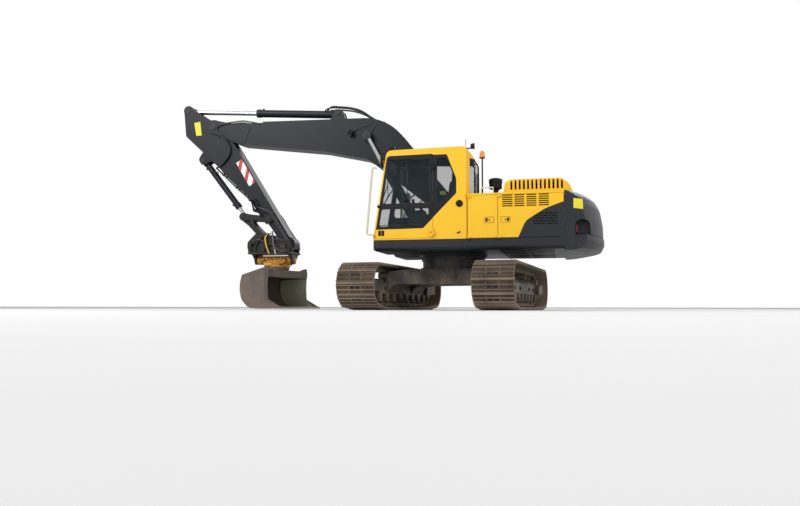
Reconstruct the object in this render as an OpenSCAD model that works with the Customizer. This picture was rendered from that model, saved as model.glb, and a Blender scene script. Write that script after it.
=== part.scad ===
/* [Undercarriage] */
// Distance between the two track centre lines
gauge = 2390; // [2000:10:2800]
// Width of the track shoes
shoe_w = 700; // [450:10:900]
// Distance between idler axle and sprocket axle
tumbler = 3660; // [3200:10:4200]
// Radius of the track's ends over the grouser tips
end_r = 400; // [380:5:440]
// Height of idler and sprocket axles above the ground
axle_z = 440; // [430:5:500]
// Number of shoes on one track
shoe_count = 49; // [44:1:56]
// Height of a grouser above the shoe plate
grouser_h = 26; // [15:1:32]
// Height of the slewing ring's parting face
ring_z = 1005; // [995:1:1030]
// Angle of the tracks from the machine's left side
slew_deg = 5.4; // [0:0.1:20]

/* [Upper structure] */
// Width of the upper structure
house_w = 2700; // [2500:10:2900]
// Height of the frame's underside
deck_z = 1065; // [1040:5:1100]
// Height of the frame's side beams
skirt_h = 200; // [150:5:260]
// Front end of the frame, ahead of the swing axis
front_x = 1290; // [1150:10:1400]
// Tail swing radius of the counterweight
tail_r = 2850; // [2500:10:3000]
// Front face of the counterweight, behind the swing axis
cw_x = 2135; // [2000:5:2300]
// Height of the side covers' top
cover_z = 2065; // [1900:5:2200]
// Height of the engine hood's top
hood_z = 2385; // [2250:5:2450]
// Thickness of doors and covers
panel_t = 30; // [25:1:35]

/* [Cab] */
// Front foot of the cab
cab_front = 1277; // [1200:1:1290]
// Rear face of the cab, behind the swing axis
cab_rear = 450; // [400:5:480]
// Inner side of the cab, beside the boom
cab_in = 375; // [365:1:420]
// Height of the cab's roof
cab_z = 2925; // [2800:5:3000]
// Wall thickness of the cab
cab_wall = 45; // [35:1:60]

/* [Boom] */
// Distance from the boom's foot pin to its nose pin
boom_len = 5700; // [5400:10:6000]
// Height of the arm's tip pin, with the bucket on the ground
tip_z = 1333.5; // [1300:0.5:1400]
// Foot pin ahead of the swing axis
foot_x = -216; // [-300:1:100]
// Foot pin's height
foot_z = 1690; // [1600:1:1800]
// Width of the boom
boom_w = 390; // [340:5:410]
// Boom cylinder's base pin, ahead of the swing axis
jack_x = 500; // [450:1:600]
// Boom cylinder's base pin's height
jack_z = 1275; // [1250:1:1300]
// Distance of a boom cylinder from the middle plane
jack_y = 285; // [280:1:290]

/* [Arm] */
// Distance from the arm's head pin to its tip pin
arm_len = 3020; // [2700:10:3200]
// Angle of the arm's pin line
arm_deg = -123.84; // [-140:0.01:-100]
// Width of the arm
arm_w = 300; // [260:5:310]

/* [Tool] */
// Gap between the coupler's side plates
ear_gap = 320; // [312:1:330]
// Depth of the tilt axis below the arm's tip pin
tilt_drop = 318; // [315:1:330]
// Rotator's axis ahead of the arm's tip pin
rotor_x = 270; // [260:5:280]
// Angle of the bucket's mouth from the machine's rear
bucket_turn = 15; // [0:1:30]
// Width of the bucket
bucket_w = 1340; // [1200:10:1500]
// Thickness of the bucket's shell
shell_t = 20; // [12:1:30]

/* [Hidden] */
$fn = 48;
// Small running gap between a pin or rod and its bore
fit = 0.08;
// Gap between parts that lie against each other
seat = 0.3;
// Gap between parts that move past each other
clear = 5;

// Paint and material colours
steel_grey = "#3c3f46";
machine_yellow = "#e0a51c";
dark_trim = "#26282c";
track_tan = "#6d6256";
chrome_grey = "#c9ccd0";
worn_steel = "#77716d";

// Plane geometry: a table row is [x, y, corner radius], listed anticlockwise
function xy(p) = [p[0], p[1]];
function unit(v) = v / norm(v);
function corner(a, b, c, r, n) =
    r == 0 ? [b] :
    let (u = unit(a - b), w = unit(c - b), half = acos(u * w) / 2,
         d = r / tan(half), s = b + u * d, e = b + w * d,
         m = b + unit(u + w) * (r / sin(half)),
         s_deg = atan2(s[1] - m[1], s[0] - m[0]),
         e_deg = atan2(e[1] - m[1], e[0] - m[0]),
         turn = (e_deg - s_deg + 540) % 360 - 180)
    [for (i = [0:n]) m + r * [cos(s_deg + turn * i / n), sin(s_deg + turn * i / n)]];
function rounded(t, n = 5) =
    let (k = len(t))
    [for (i = [0:k - 1]) each corner(xy(t[(i + k - 1) % k]), xy(t[i]), xy(t[(i + 1) % k]), t[i][2], n)];
function inset(t, d) =
    let (k = len(t))
    [for (i = [0:k - 1])
        let (u = unit(xy(t[i]) - xy(t[(i + k - 1) % k])), w = unit(xy(t[(i + 1) % k]) - xy(t[i])),
             nu = [-u[1], u[0]], nw = [-w[1], w[0]], m = d / (1 + nu * nw),
             left = u[0] * w[1] - u[1] * w[0] > 0)
        [t[i][0] + m * (nu[0] + nw[0]), t[i][1] + m * (nu[1] + nw[1]),
         left ? max(0, t[i][2] - d) : (t[i][2] > 0 ? t[i][2] + d : 0)]];

// A side view, drawn in X and Z, made solid from y0 to y1
module side(y0, y1) { translate([0, y1, 0]) rotate([90, 0, 0]) linear_extrude(y1 - y0) children(); }
// The same on both sides of the middle plane
module sides(y0, y1) {
    side(y0, y1) children();
    side(-y1, -y0) children();
}
// A shaft across the machine, from y0 to y1, at x and z
module shaft(x, z, r, y0, y1) { translate([x, y1, z]) rotate([90, 0, 0]) cylinder(h = y1 - y0, r = r); }
module shafts(x, z, r, y0, y1) {
    shaft(x, z, r, y0, y1);
    shaft(x, z, r, -y1, -y0);
}
module block(lo, hi) { translate(lo) cube(hi - lo); }

// Boom nose pin, arm tip pin and the whole machine's middle, in the side view
function turned(p, a) = [p[0] * cos(a) - p[1] * sin(a), p[0] * sin(a) + p[1] * cos(a)];
foot = [foot_x, foot_z];
// The boom's angle sets the bucket on the ground
boom_deg = asin((tip_z - foot_z - arm_len * sin(arm_deg)) / boom_len);
nose = foot + boom_len * [cos(boom_deg), sin(boom_deg)];
tip = nose + arm_len * [cos(arm_deg), sin(arm_deg)];
// Arm cylinder's rod pin on the arm and its boss
head_pin = [-666, 298];
head_r = 105;
front_end = (nose + turned(head_pin, arm_deg))[0] + head_r;
shift_x = (front_end - tail_r) / 2;
module machine() { translate([-shift_x, 0, 0]) children(); }
module on_boom() { translate([foot[0], 0, foot[1]]) rotate([0, -boom_deg, 0]) children(); }
module on_arm() { translate([nose[0], 0, nose[1]]) rotate([0, -arm_deg, 0]) children(); }
module on_tip() { translate([tip[0], 0, tip[1]]) children(); }

// Undercarriage: local X runs along the tracks
module on_tracks() { rotate([0, 0, 90 - slew_deg]) children(); }
half_l = tumbler / 2;
// Last bottom roller before the track rises to its end
flat_l = half_l - 380;
// Layers of the track, counted outwards from the chain's pin line
shoe_in = 40;
shoe_out = 62;
tip_out = shoe_out + grouser_h;
rail_in = -45;
pitch_r = end_r - tip_out;
rail_y = 75;
rail_t = 40;

// Path of the track: straight runs and turns round four points, from the front low point
rise = axle_z - end_r;
lift_deg = atan2(rise, half_l - flat_l);
lift_l = norm([rise, half_l - flat_l]);
// Columns: start point, heading at the start, length, turn over that length
path = [
    [[-flat_l, end_r], 0, 2 * flat_l, 0],
    [[flat_l, end_r], 0, pitch_r * lift_deg * PI / 180, lift_deg],
    [[flat_l, end_r], lift_deg, lift_l, 0],
    [[half_l, axle_z], lift_deg, pitch_r * (180 - lift_deg) * PI / 180, 180 - lift_deg],
    [[half_l, axle_z], 180, tumbler, 0],
    [[-half_l, axle_z], 180, pitch_r * (180 - lift_deg) * PI / 180, 180 - lift_deg],
    [[-half_l, axle_z], 360 - lift_deg, lift_l, 0],
    [[-flat_l, end_r], 360 - lift_deg, pitch_r * lift_deg * PI / 180, lift_deg]];
function path_len(i = 0) = i == len(path) ? 0 : path[i][2] + path_len(i + 1);
// Place and heading of a point n outside the pin line, s along it
function at(s, n, i = 0) =
    s > path[i][2] && i < len(path) - 1 ? at(s - path[i][2], n, i + 1) :
    let (g = path[i], part = s / g[2], h = g[1] + g[3] * part,
         base = g[0] + (g[3] == 0 ? s * [cos(g[1]), sin(g[1])] : [0, 0]))
    [base + (pitch_r + n) * [sin(h), -cos(h)], h];
loop_len = path_len();
pitch = loop_len / shoe_count;
// Section of one shoe: columns are the place along it as a share of half a shoe, and the height
shoe_rows = [[-1, 0], [-0.9, 1], [-0.79, 0.08], [-0.1, 0.08], [0, 0.92], [0.1, 0.08],
             [0.79, 0.08], [0.9, 1], [1, 0]];
shoe_half = pitch / 2 - clear;
function grounded(p) = [p[0], max(0, p[1])];
function shoe_pts(i) =
    let (p = at((i + 0.5) * pitch, 0), t = [cos(p[1]), sin(p[1])], n = [sin(p[1]), -cos(p[1])])
    [for (row = shoe_rows)
        grounded(p[0] + t * row[0] * shoe_half
            + n * (shoe_out + (tip_out - shoe_out) * row[1] - (row[1] == 0 ? 6 : 0)))];
function ring_pts(n, steps = 10) =
    [for (g = [0:len(path) - 1]) let (k = path[g][3] == 0 ? 1 : (path[g][3] > 90 ? steps : 1))
        for (j = [0:k - 1])
            let (part = j / k, h = path[g][1] + path[g][3] * part,
                 base = path[g][0] + (path[g][3] == 0 ? path[g][2] * part * [cos(path[g][1]),
                     sin(path[g][1])] : [0, 0]))
            base + (pitch_r + n) * [sin(h), -cos(h)]];

module track_loop() {
    side(-shoe_w / 2, shoe_w / 2) difference() {
        polygon([for (i = [0:shoe_count - 1]) each shoe_pts(i)]);
        polygon(ring_pts(shoe_in));
    }
    sides(rail_y - rail_t / 2, rail_y + rail_t / 2) difference() {
        polygon(ring_pts(shoe_in + 4));
        polygon(ring_pts(rail_in));
    }
}
module track_left() { color(track_tan) on_tracks() rotate([0, 0, 180]) translate([0, -gauge / 2,
    0]) track_loop(); }
module track_right() { color(track_tan) on_tracks() translate([0, -gauge / 2, 0]) track_loop(); }

roll_r = pitch_r + rail_in - seat;
// Bottom rollers' radius and top rollers' radius
low_r = 75;
top_r = 60;
low_z = axle_z - rise - roll_r - seat + low_r;
top_z = axle_z + roll_r - top_r;
roller_places = [for (i = [0:7]) -flat_l + 60 + i * (2 * flat_l - 120) / 7];
module each_track() { for (s = [-1, 1]) translate([0, s * gauge / 2, 0]) children(); }
module wheel(x, z, r, flange_r, half) {
    shaft(x, z, r, -half, half);
    shaft(x, z, flange_r, -rail_y + rail_t / 2 + clear, rail_y - rail_t / 2 - clear);
}
tread_y = rail_y + rail_t / 2 + clear;
axle_r = 45;
module idlers() {
    color(track_tan) on_tracks() each_track() {
        wheel(half_l, axle_z, roll_r - 4, pitch_r - 24, tread_y);
        shaft(half_l, axle_z, axle_r, -frame_half + 15, frame_half - 15);
    }
}
tooth_count = 21;
// Inner face of the final drive's guards
drive_y = 170;
module sprockets() {
    color(track_tan) on_tracks() each_track() {
        translate([-half_l, 30, axle_z]) rotate([90, 0, 0]) linear_extrude(60)
            polygon([for (i = [0:tooth_count - 1]) for (row = [[-6, roll_r - 10], [-2.2, pitch_r + 5],
                [2.2, pitch_r + 5], [6, roll_r - 10]])
                let (a = i * 360 / tooth_count + row[0]) row[1] * [cos(a), sin(a)]]);
        shaft(-half_l, axle_z, 200, -drive_y, drive_y);
    }
}
module rollers() {
    color(track_tan) on_tracks() each_track() {
        for (x = roller_places) {
            wheel(x, low_z, low_r, low_r + 14, tread_y);
            shaft(x, low_z, 32, -frame_half + 15, frame_half - 15);
        }
        for (x = [-700, 700]) {
            shaft(x, top_z, top_r, -tread_y, tread_y);
        }
    }
}
// Side frames, the leg frame between them and the fixed half of the slewing ring
frame_half = 190;
ring_r = 620;
leg_top = 760;
leg_low = 485;
beam_z = 300;
beam_l = 1420;
// Inner face of a side frame, a little inside the steel
inner_y = gauge / 2 - frame_half + 5;
leg_section = [[-inner_y, beam_z + 20, 0], [-inner_y + 120, 460, 120], [-inner_y + 320, leg_low, 200],
               [inner_y - 320, leg_low, 200], [inner_y - 120, 460, 120], [inner_y, beam_z + 20, 0],
                   [inner_y, 600, 0],
               [inner_y - 80, 705, 60], [inner_y - 390, leg_top, 100], [-inner_y + 390, leg_top, 100],
               [-inner_y + 80, 705, 60], [-inner_y, 600, 0]];
module track_frame() {
    color(steel_grey) on_tracks() {
        each_track() {
            difference() {
                rotate([90, 0, 90]) translate([0, 0, -beam_l]) linear_extrude(2 * beam_l)
                    polygon(rounded([[-frame_half, beam_z, 20], [frame_half, beam_z, 20],
                                     [frame_half, beam_z + 190, 20],
                                     [110, beam_z + 270, 20], [-110, beam_z + 270, 20],
                                         [-frame_half, beam_z + 190, 20]]));
                // Openings over the rollers' grease fittings
                for (x = [-2, -1, 1, 2]) side(-frame_half - 1,
                                              frame_half + 1) translate([x * beam_l / 2.6, beam_z + 95])
                    polygon(rounded([[-110, -35, 34], [110, -35, 34], [110, 35, 34], [-110, 35, 34]]));
            }
            sides(frame_half - 50, frame_half) difference() {
                union() {
                    polygon(rounded([[beam_l - 120, beam_z + 20, 20], [half_l - 60, axle_z - 90, 60],
                                     [half_l + 90, axle_z - 70, 60],
                                     [half_l + 90, axle_z + 70, 60], [half_l - 60, axle_z + 90, 60],
                                         [beam_l - 120, axle_z + 100, 20]]));
                    for (x = roller_places) polygon(rounded([[x - 60, low_z - 45, 25],
                                                             [x + 60, low_z - 45, 25],
                        [x + 85, beam_z + 25, 0], [x - 85, beam_z + 25, 0]]));
                }
                translate([half_l, axle_z]) circle(r = axle_r + fit);
                for (x = roller_places) translate([x, low_z]) circle(r = 32 + fit);
            }
            for (x = [-700, 700]) block([x - 50, -30, beam_z + 250], [x + 50, 30, top_z - top_r - seat]);
            sides(drive_y, drive_y + 100) polygon(rounded([[-half_l - 170, beam_z + 30, 60],
                                                           [-beam_l + 60, beam_z + 10, 0],
                [-beam_l + 60, beam_z + 180, 0], [-half_l - 170, beam_z + 230, 60]]));
        }
        difference() {
            union() {
                translate([0, 0, leg_low]) cylinder(h = leg_top - leg_low, r = ring_r + 60);
                intersection() {
                    for (m = [0, 1]) mirror([m, 0, 0]) for (k = [0, 1]) mirror([0, k, 0])
                        translate([0, 0, beam_z]) linear_extrude(leg_top)
                            polygon([[0, 0], [0, 520], [470, inner_y], [1130, inner_y],
                                     [1130, inner_y - 60], [600, 100], [600, 0]]);
                    rotate([90, 0, 90]) translate([0, 0,
                                                   -1500]) linear_extrude(3000)
                        polygon(rounded(leg_section));
                }
            }
            // Well under the slewing ring and its access hole
            translate([0, 0, leg_low + 30]) cylinder(h = leg_top, r = ring_r - 130);
            translate([0, 0, leg_low - 1]) cylinder(h = 60, r = 240);
        }
        translate([0, 0, leg_top - 1]) difference() {
            union() {
                cylinder(h = ring_z - leg_top + 1, r = ring_r - 25);
                cylinder(h = 40, r = ring_r + 20);
                translate([0, 0, ring_z - leg_top - 59]) cylinder(h = 60, r = ring_r);
            }
            translate([0, 0, -1]) cylinder(h = ring_z, r = ring_r - 130);
        }
    }
}

// Upper structure
half_w = house_w / 2;
deck_top = deck_z + skirt_h;
// Boom well: the frame is open here, in front of the boom cylinders' pins
well_y = cab_in;
well_x = 660;
foot_half = 290;
plate_t = 50;
engine_z = deck_top + 60;
deck_plan = [[-cw_x, -half_w, 0], [front_x, -half_w, 120], [front_x, -well_y, 20], [well_x, -well_y, 40],
             [well_x, well_y, 40], [front_x, well_y, 20], [front_x, half_w, 120], [-cw_x, half_w, 0]];
jack_r = 68;
jack_eye = 50;
lug_t = 30;
module deck() {
    color(steel_grey) {
        intersection() {
            difference() {
                translate([0, 0, deck_z]) linear_extrude(skirt_h) polygon(rounded(deck_plan));
                translate([0, 0, deck_z + 35]) linear_extrude(skirt_h) {
                    polygon(rounded(inset(deck_plan, 100)));
                    translate([well_x - 120, -well_y]) square([200, 2 * well_y]);
                }
            }
            // Rounded lower edges of the side beams and the front
            rotate([90, 0, 90]) translate([0, 0, -3000]) linear_extrude(6000)
                polygon(rounded([[-half_w, deck_z, 75], [half_w, deck_z, 75], [half_w, deck_top, 8],
                                 [-half_w, deck_top, 8]]));
            side(-half_w, half_w) polygon(rounded([[-cw_x, deck_z, 0], [front_x, deck_z, 75],
                                                   [front_x, deck_top, 8], [-cw_x, deck_top, 0]]));
        }
        translate([0, 0, ring_z + seat]) cylinder(h = deck_z - ring_z, r = ring_r + 40);
        hinge_post(cooler_hinge, half_w, deck_top, 1);
        hinge_post(engine_hinge, half_w, deck_top, 1);
        hinge_post(engine_hinge, -half_w, deck_top, 1);
        difference() {
            sides(foot_half + clear, foot_half + clear + plate_t)
                polygon(rounded([[-1900, deck_z + 20, 0], [110, deck_z + 20, 0], [110, 1330, 60],
                                 [foot_x + 150, foot_z, 0],
                                 [foot_x + 150, foot_z + 150, 140], [foot_x - 150, foot_z + 150, 140],
                                 [foot_x - 420, engine_z, 200], [-1900, engine_z, 0]]));
            shaft(foot_x, foot_z, 55 + fit, -500, 500);
        }
        difference() {
            for (y = [jack_y - jack_eye - clear - lug_t, jack_y + jack_eye + clear]) sides(y, y + lug_t)
                polygon(rounded([[360, deck_z + 20, 0], [jack_x + 100, deck_z + 20, 0],
                                 [jack_x + 85, jack_z + 80, 75],
                                 [jack_x - 85, jack_z + 80, 75]]));
            shaft(jack_x, jack_z, 45 + fit, -500, 500);
        }
    }
}

// Counterweight's section, as radius from the swing axis and height
cw_low = 1035;
cw_top = cover_z + 12;
bumper_z = 1288;
cw_section = [[1900, cw_low, 0], [tail_r - 240, cw_low, 60], [tail_r - 55, cw_low + 35, 60],
              [tail_r, cw_low + 150, 90],
              [tail_r, bumper_z, 12], [tail_r - 14, bumper_z + 6, 0], [tail_r - 22, 1540, 300],
              [tail_r - 70, 1815, 240], [tail_r - 144, 1965, 160], [tail_r - 290, cw_top, 120],
                  [1900, cw_top, 0]];
cw_plan = [[-cw_x, -house_w / 2, 0], [-cw_x, house_w / 2, 0], [-2540, house_w / 2, 260],
           [-tail_r - 50, 1000, 0],
           [-tail_r - 50, -1000, 0], [-2540, -house_w / 2, 260]];
// Tail lamp's recess on each side
recess_y = 1130;
recess_side = [[-2582, 1292, 20], [-2318, 1292, 20], [-2318, 1500, 30], [-2400, 1572, 90],
               [-2560, 1540, 70]];
lift_x = 2400;
lift_y = 700;
lift_r = 26;
module counterweight() {
    color(steel_grey) difference() {
        intersection() {
            rotate_extrude($fn = 200) polygon(rounded(cw_section));
            translate([0, 0, cw_low - 10]) linear_extrude(cw_top) polygon(rounded(cw_plan));
        }
        // Room for the hood's rear edge
        block([-cw_x - 210, -940, cover_z - 60], [0, 940, cover_z + 100]);
        sides(recess_y, half_w + 50) polygon(rounded(recess_side));
        for (s = [-1, 1]) translate([-lift_x, s * lift_y, cw_top - 110]) cylinder(h = 200, r = lift_r);
        // Shut line above the bumper
        difference() {
            translate([0, 0, bumper_z + 2]) cylinder(h = 14, r = tail_r + 100, $fn = 200);
            translate([0, 0, bumper_z]) cylinder(h = 20, r = tail_r - 36, $fn = 200);
            block([-cw_x - 420, -half_w - 50, 0], [0, half_w + 50, cw_top]);
        }
    }
    // Posts and pins of the hood's hinges
    color(steel_grey) for (s = [-1, 1]) {
        side(s * 458 - 15, s * 458 + 15) union() {
            translate(hood_pin) circle(r = 16);
            translate([hood_pin[0] - 16, cover_z - 62]) square([32, hood_pin[1] - cover_z + 62]);
        }
        shaft(hood_pin[0], hood_pin[1], 8, s * 430 - 45, s * 430 + 30);
    }
}

bay_rear = cw_x - 5;
// Bulkhead behind the cab, and the seam between the two side doors
bay_front = cab_rear + 156;
split_x = 1000;
// Left and right sides of the hood
hood_in = 900;
hood_out = 720;
hood_pin = [-cw_x - 187, cover_z + 20];
// Filler necks, which pass through the top cover
filler_x = [-640, -120];
filler_y = -900;
filler_r = 62;
module body_frame() {
    color(machine_yellow) {
        // Bulkhead behind the cab
        difference() {
            block([-bay_front, -410, deck_top], [-bay_front + 30, half_w - panel_t - seat, cover_z - 30]);
            block([-bay_front - 50, -360, deck_z], [-bay_front + 50, 360, foot_z + 30]);
        }
        // Bulkhead between the cooler and the engine
        difference() {
            block([-split_x - 20, 380, deck_z + 35], [-split_x, half_w - 105, cover_z - 30]);
            block([-split_x - 30, 420, deck_top + 85], [-split_x + 10, half_w - 130, cover_z - 115]);
        }
        // Top cover with the hood's opening
        translate([0, 0, cover_z - 30]) linear_extrude(30) difference() {
            translate([-bay_rear, -half_w]) square([bay_rear - cab_rear - 5, house_w]);
            polygon(rounded(inset(cab_plan, -clear)));
            for (x = filler_x) translate([x, filler_y]) circle(r = filler_r + clear);
            translate([-bay_rear - 1, -hood_out + 20]) square([bay_rear - split_x - 60,
                hood_out + hood_in - 40]);
        }
        // Upper hinge posts of the side doors
        hinge_post(cooler_hinge, half_w, cover_z - 30, -1);
        hinge_post(engine_hinge, half_w, cover_z - 30, -1);
        hinge_post(engine_hinge, -half_w, cover_z - 30, -1);
        // Post at the rear edge of the engine door
        block([-bay_rear, half_w - 120, deck_top], [-bay_rear + 60, half_w - panel_t - seat,
                                                    cover_z - 30]);
    }
}
module engine() { color(dark_trim) block([-bay_rear + 180, -600, engine_z],
                                         [-split_x - 80, 560, cover_z - 115]); }
module cooler() { color(dark_trim) block([-940, 430, deck_z + 35], [-700, half_w - 150, cover_z - 105]); }
module tanks() {
    color(machine_yellow) {
        // Columns: rear end, front end, height over the frame, front corner
        for (t = [[clear - split_x, 260, cover_z - 60 - deck_top, 40], [265, 760, 560, 40],
                  [765, front_x - 60, 330, 100]]) difference() {
            translate([0, 0, deck_top]) linear_extrude(t[2])
                polygon(rounded([[t[0], -half_w, 20], [t[1], -half_w, t[3]], [t[1], -cab_in - 45, 20],
                                 [t[0], -cab_in - 45, 0]]));
            // Shut line along the outer side
            block([t[0] - 1, -half_w - 1, deck_top + t[2] - 70],
                  [t[1] + 1, -half_w + 6, deck_top + t[2] - 62]);
        }
        // Filler necks
        for (x = filler_x) translate([x, filler_y, cover_z - 61]) cylinder(h = 61, r = filler_r);
    }
}

// Door hinges: an upright pin beside the door, held by the body, and a knuckle on the door
hinge_out = 28;
hinge_pin_r = 8;
hinge_r = 15;
hinge_h = 40;
module hinge_post(x, face, z, dir) {
    y = sign(face) * (abs(face) + hinge_out);
    translate([x, y, dir > 0 ? z - 30 : z]) cylinder(h = 30, r = hinge_r);
    block([x - hinge_r, min(y, face - sign(face) * 20), dir > 0 ? z - 30 : z],
          [x + hinge_r, max(y, face - sign(face) * 20), dir > 0 ? z : z + 30]);
    translate([x, y, dir > 0 ? z - 30 : z - hinge_h]) cylinder(h = 30 + hinge_h, r = hinge_pin_r);
}
module hinge_knuckle(x, face, z, dir) {
    y = sign(face) * (abs(face) + hinge_out);
    low = dir > 0 ? z + 3 : z - hinge_h;
    difference() {
        union() {
            translate([x, y, low]) cylinder(h = hinge_h - 3, r = hinge_r);
            block([x - 45, min(y, face - sign(face) * 10), low],
                  [x, max(y, face - sign(face) * 10), low + hinge_h - 3]);
        }
        translate([x, y, low - 1]) cylinder(h = hinge_h, r = hinge_pin_r + fit);
    }
}
door_low = deck_top + 8;
door_high = cover_z - 35;
cooler_hinge = -cab_rear - 20;
engine_hinge = 6 - split_x - 10;

// Cab: side view of the shell
cab_back = cab_rear + 115;
cab_top = cab_front - 257;
cab_side = [[-cab_back, deck_top, 15], [cab_front, deck_top, 15], [cab_top, cab_z - 20, 110],
            [-cab_rear + 30, cab_z, 170],
            [-cab_back, cab_z - 190, 170]];
cab_plan = [[-cab_back, cab_in, 40], [cab_front + 60, cab_in, 0], [cab_front + 60, half_w, 0],
            [-cab_rear + 15, half_w, 20],
            [-cab_back, half_w - 270, 80]];
// Heights of the cab door's sill and waist
sill_z = deck_top + 200;
waist_z = deck_top + 613;
door_x = 168;
door_side = [[door_x, deck_top + 25, 20], [cab_front - 39, deck_top + 25, 30],
             [cab_top - 12, cab_z - 130, 60], [door_x, cab_z - 120, 20]];
door_low_side = [[door_x - 5, deck_top, 0], [cab_front + 20, deck_top, 0],
                 [cab_front + 20, sill_z - 12, 0], [345, sill_z, 40],
                 [door_x - 5, sill_z + 182, 0]];
upper_pane = [[door_x + 57, waist_z + 42, 40], [cab_top + 78, waist_z + 42, 40],
              [cab_top - 35, cab_z - 185, 60], [door_x + 57, cab_z - 200, 30]];
lower_pane = [[door_x + 170, sill_z + 45, 50], [cab_front - 112, sill_z + 45, 40],
              [cab_front - 162, waist_z - 48, 40],
              [door_x + 72, waist_z - 48, 40], [door_x + 72, sill_z + 140, 40]];
quarter_side = [[-260, 2083, 30], [door_x - 5, sill_z + 190, 0], [door_x - 5, cab_z - 133, 0],
                [-91, cab_z - 133, 40], [-261, 2345, 60]];
quarter_pane = [[-239, 2170, 40], [door_x - 80, 1916, 40], [door_x - 80, cab_z - 204, 20],
                [-80, cab_z - 204, 60], [-239, 2345, 60]];
boom_pane = [[-cab_rear - 10, waist_z - 100, 60], [cab_front - 170, waist_z - 100, 60],
             [cab_top - 40, cab_z - 135, 60],
             [-cab_rear - 10, cab_z - 190, 60]];
module cab_body(d) {
    intersection() {
        side(cab_in + d, half_w - d) polygon(rounded(inset(cab_side, d)));
        translate([0, 0, deck_z]) linear_extrude(cab_z) polygon(rounded(inset(cab_plan, d)));
    }
}
// Openings for fixed glass, made smaller by d all round
module cab_windows(d) {
    side(cab_in - 5, cab_in + cab_wall + 5) polygon(rounded(inset(boom_pane, d)));
    block([cab_top - 120, cab_in + 70 + d, sill_z - 45 + d],
          [cab_front + 70, half_w - 70 - d, cab_z - 145 - d]);
    block([-cab_back - 50, cab_in + 80 + d, cover_z + 35 + d],
          [-cab_rear + 40, half_w - 110 - d, cab_z - 200 - d]);
    translate([0, 0, cab_z - 60]) linear_extrude(80) polygon(rounded(inset([[380, cab_in + 160, 60],
        [880, cab_in + 160, 60], [880, half_w - 160, 60], [380, half_w - 160, 60]], d)));
}
module cab() {
    color(machine_yellow) difference() {
        cab_body(0);
        cab_body(cab_wall);
        cab_windows(0);
        // Openings for the door, a little larger than the door, and for the quarter window's frame
        side(half_w - cab_wall - 5, half_w + 5) polygon(rounded(inset(door_side, -clear)));
        side(half_w - cab_wall - 5, half_w + 5) polygon(rounded(quarter_side));
    }
    color(machine_yellow) cab_hinges(cab_hinge_z[0]);
}
// Frame of the quarter window
module cab_trim() {
    color(dark_trim) {
        side(half_w - 30, half_w) difference() {
            polygon(rounded(quarter_side));
            polygon(rounded(quarter_pane));
        }
        cab_hinges(cab_hinge_z[1]);
    }
}
// Cab door's hinges
cab_hinge_x = 166;
cab_hinge_y = half_w + 30;
cab_hinge_z = [deck_top + 90, cab_z - 375];
module cab_hinges(z) {
    block([cab_hinge_x - 50, half_w - 10, z], [cab_hinge_x - 4, cab_hinge_y, z + 40]);
    translate([cab_hinge_x, cab_hinge_y, z]) cylinder(h = 40, r = 16);
    translate([cab_hinge_x, cab_hinge_y, z - 40]) cylinder(h = 120, r = hinge_pin_r);
}
module cab_knuckles(z) {
    for (low = [z - 40, z + 43]) difference() {
        union() {
            translate([cab_hinge_x, cab_hinge_y, low]) cylinder(h = 37, r = 16);
            block([cab_hinge_x, half_w - 10, low], [cab_hinge_x + 50, cab_hinge_y + 16, low + 37]);
        }
        translate([cab_hinge_x, cab_hinge_y, low - 1]) cylinder(h = 40, r = hinge_pin_r + fit);
    }
}
module cab_glass() {
    color("#20262c", 0.5) {
        intersection() {
            difference() {
                cab_body(15);
                cab_body(21);
            }
            cab_windows(seat);
        }
        side(half_w - 21, half_w - 15) polygon(rounded(inset(quarter_pane, seat)));
    }
}
module seat_base() {
    block([-100, 640, deck_top + cab_wall], [340, 1080, deck_top + 375]);
    side(610, 1110) polygon(rounded([[-170, deck_top + 375, 30], [420, deck_top + 375, 60],
                                     [430, deck_top + 490, 50], [-20, deck_top + 470, 60],
        [-110, deck_top + 1080, 50],
                                     [-230, deck_top + 1080, 50]]));
    side(740, 980) polygon(rounded([[-215, deck_top + 1070, 0], [-120, deck_top + 1070, 0],
                                    [-130, deck_top + 1280, 40], [-225, deck_top + 1280, 40]]));
    // Arm rests
    for (y = [530, 1115]) block([-160, y, deck_top + 640], [240, y + 75, deck_top + 700]);
    for (y = [580, 1085]) block([-200, y, deck_top + 600], [-140, y + 50, deck_top + 690]);
}
module seat() { color(dark_trim) seat_base(); }
module controls() {
    color(dark_trim) {
        for (y = [[455, 525], [1195, 1245]]) side(y[0], y[1]) polygon(rounded([[180, deck_top + cab_wall,
            0], [520, deck_top + cab_wall, 0], [640, deck_top + 520, 60], [330, deck_top + 560, 80]]));
        // Levers
        for (y = [490, 1220]) {
            translate([520, y, deck_top + 500]) rotate([0, 8, 0]) cylinder(h = 170, r = 12);
            translate([543, y, deck_top + 640]) rotate([0, 8, 0]) cylinder(h = 110, r = 26);
        }
        // Travel pedals with their levers
        for (y = [760, 900]) {
            side(y, y + 90) polygon(rounded([[700, deck_top + cab_wall, 0],
                                             [760, deck_top + cab_wall, 0], [900, deck_top + 170, 20],
                [850, deck_top + 190, 20]]));
            translate([830, y + 45, deck_top + 120]) rotate([0, -8, 0]) cylinder(h = 420, r = 11);
        }
        // Display on its arm
        block([930, 470, deck_top + 330], [955, 500, deck_top + 760]);
        block([900, 450, deck_top + 760], [950, 620, deck_top + 930]);
        block([925, cab_in + cab_wall + seat, deck_top + 330], [1020, 505, deck_top + 345]);
    }
}
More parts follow.
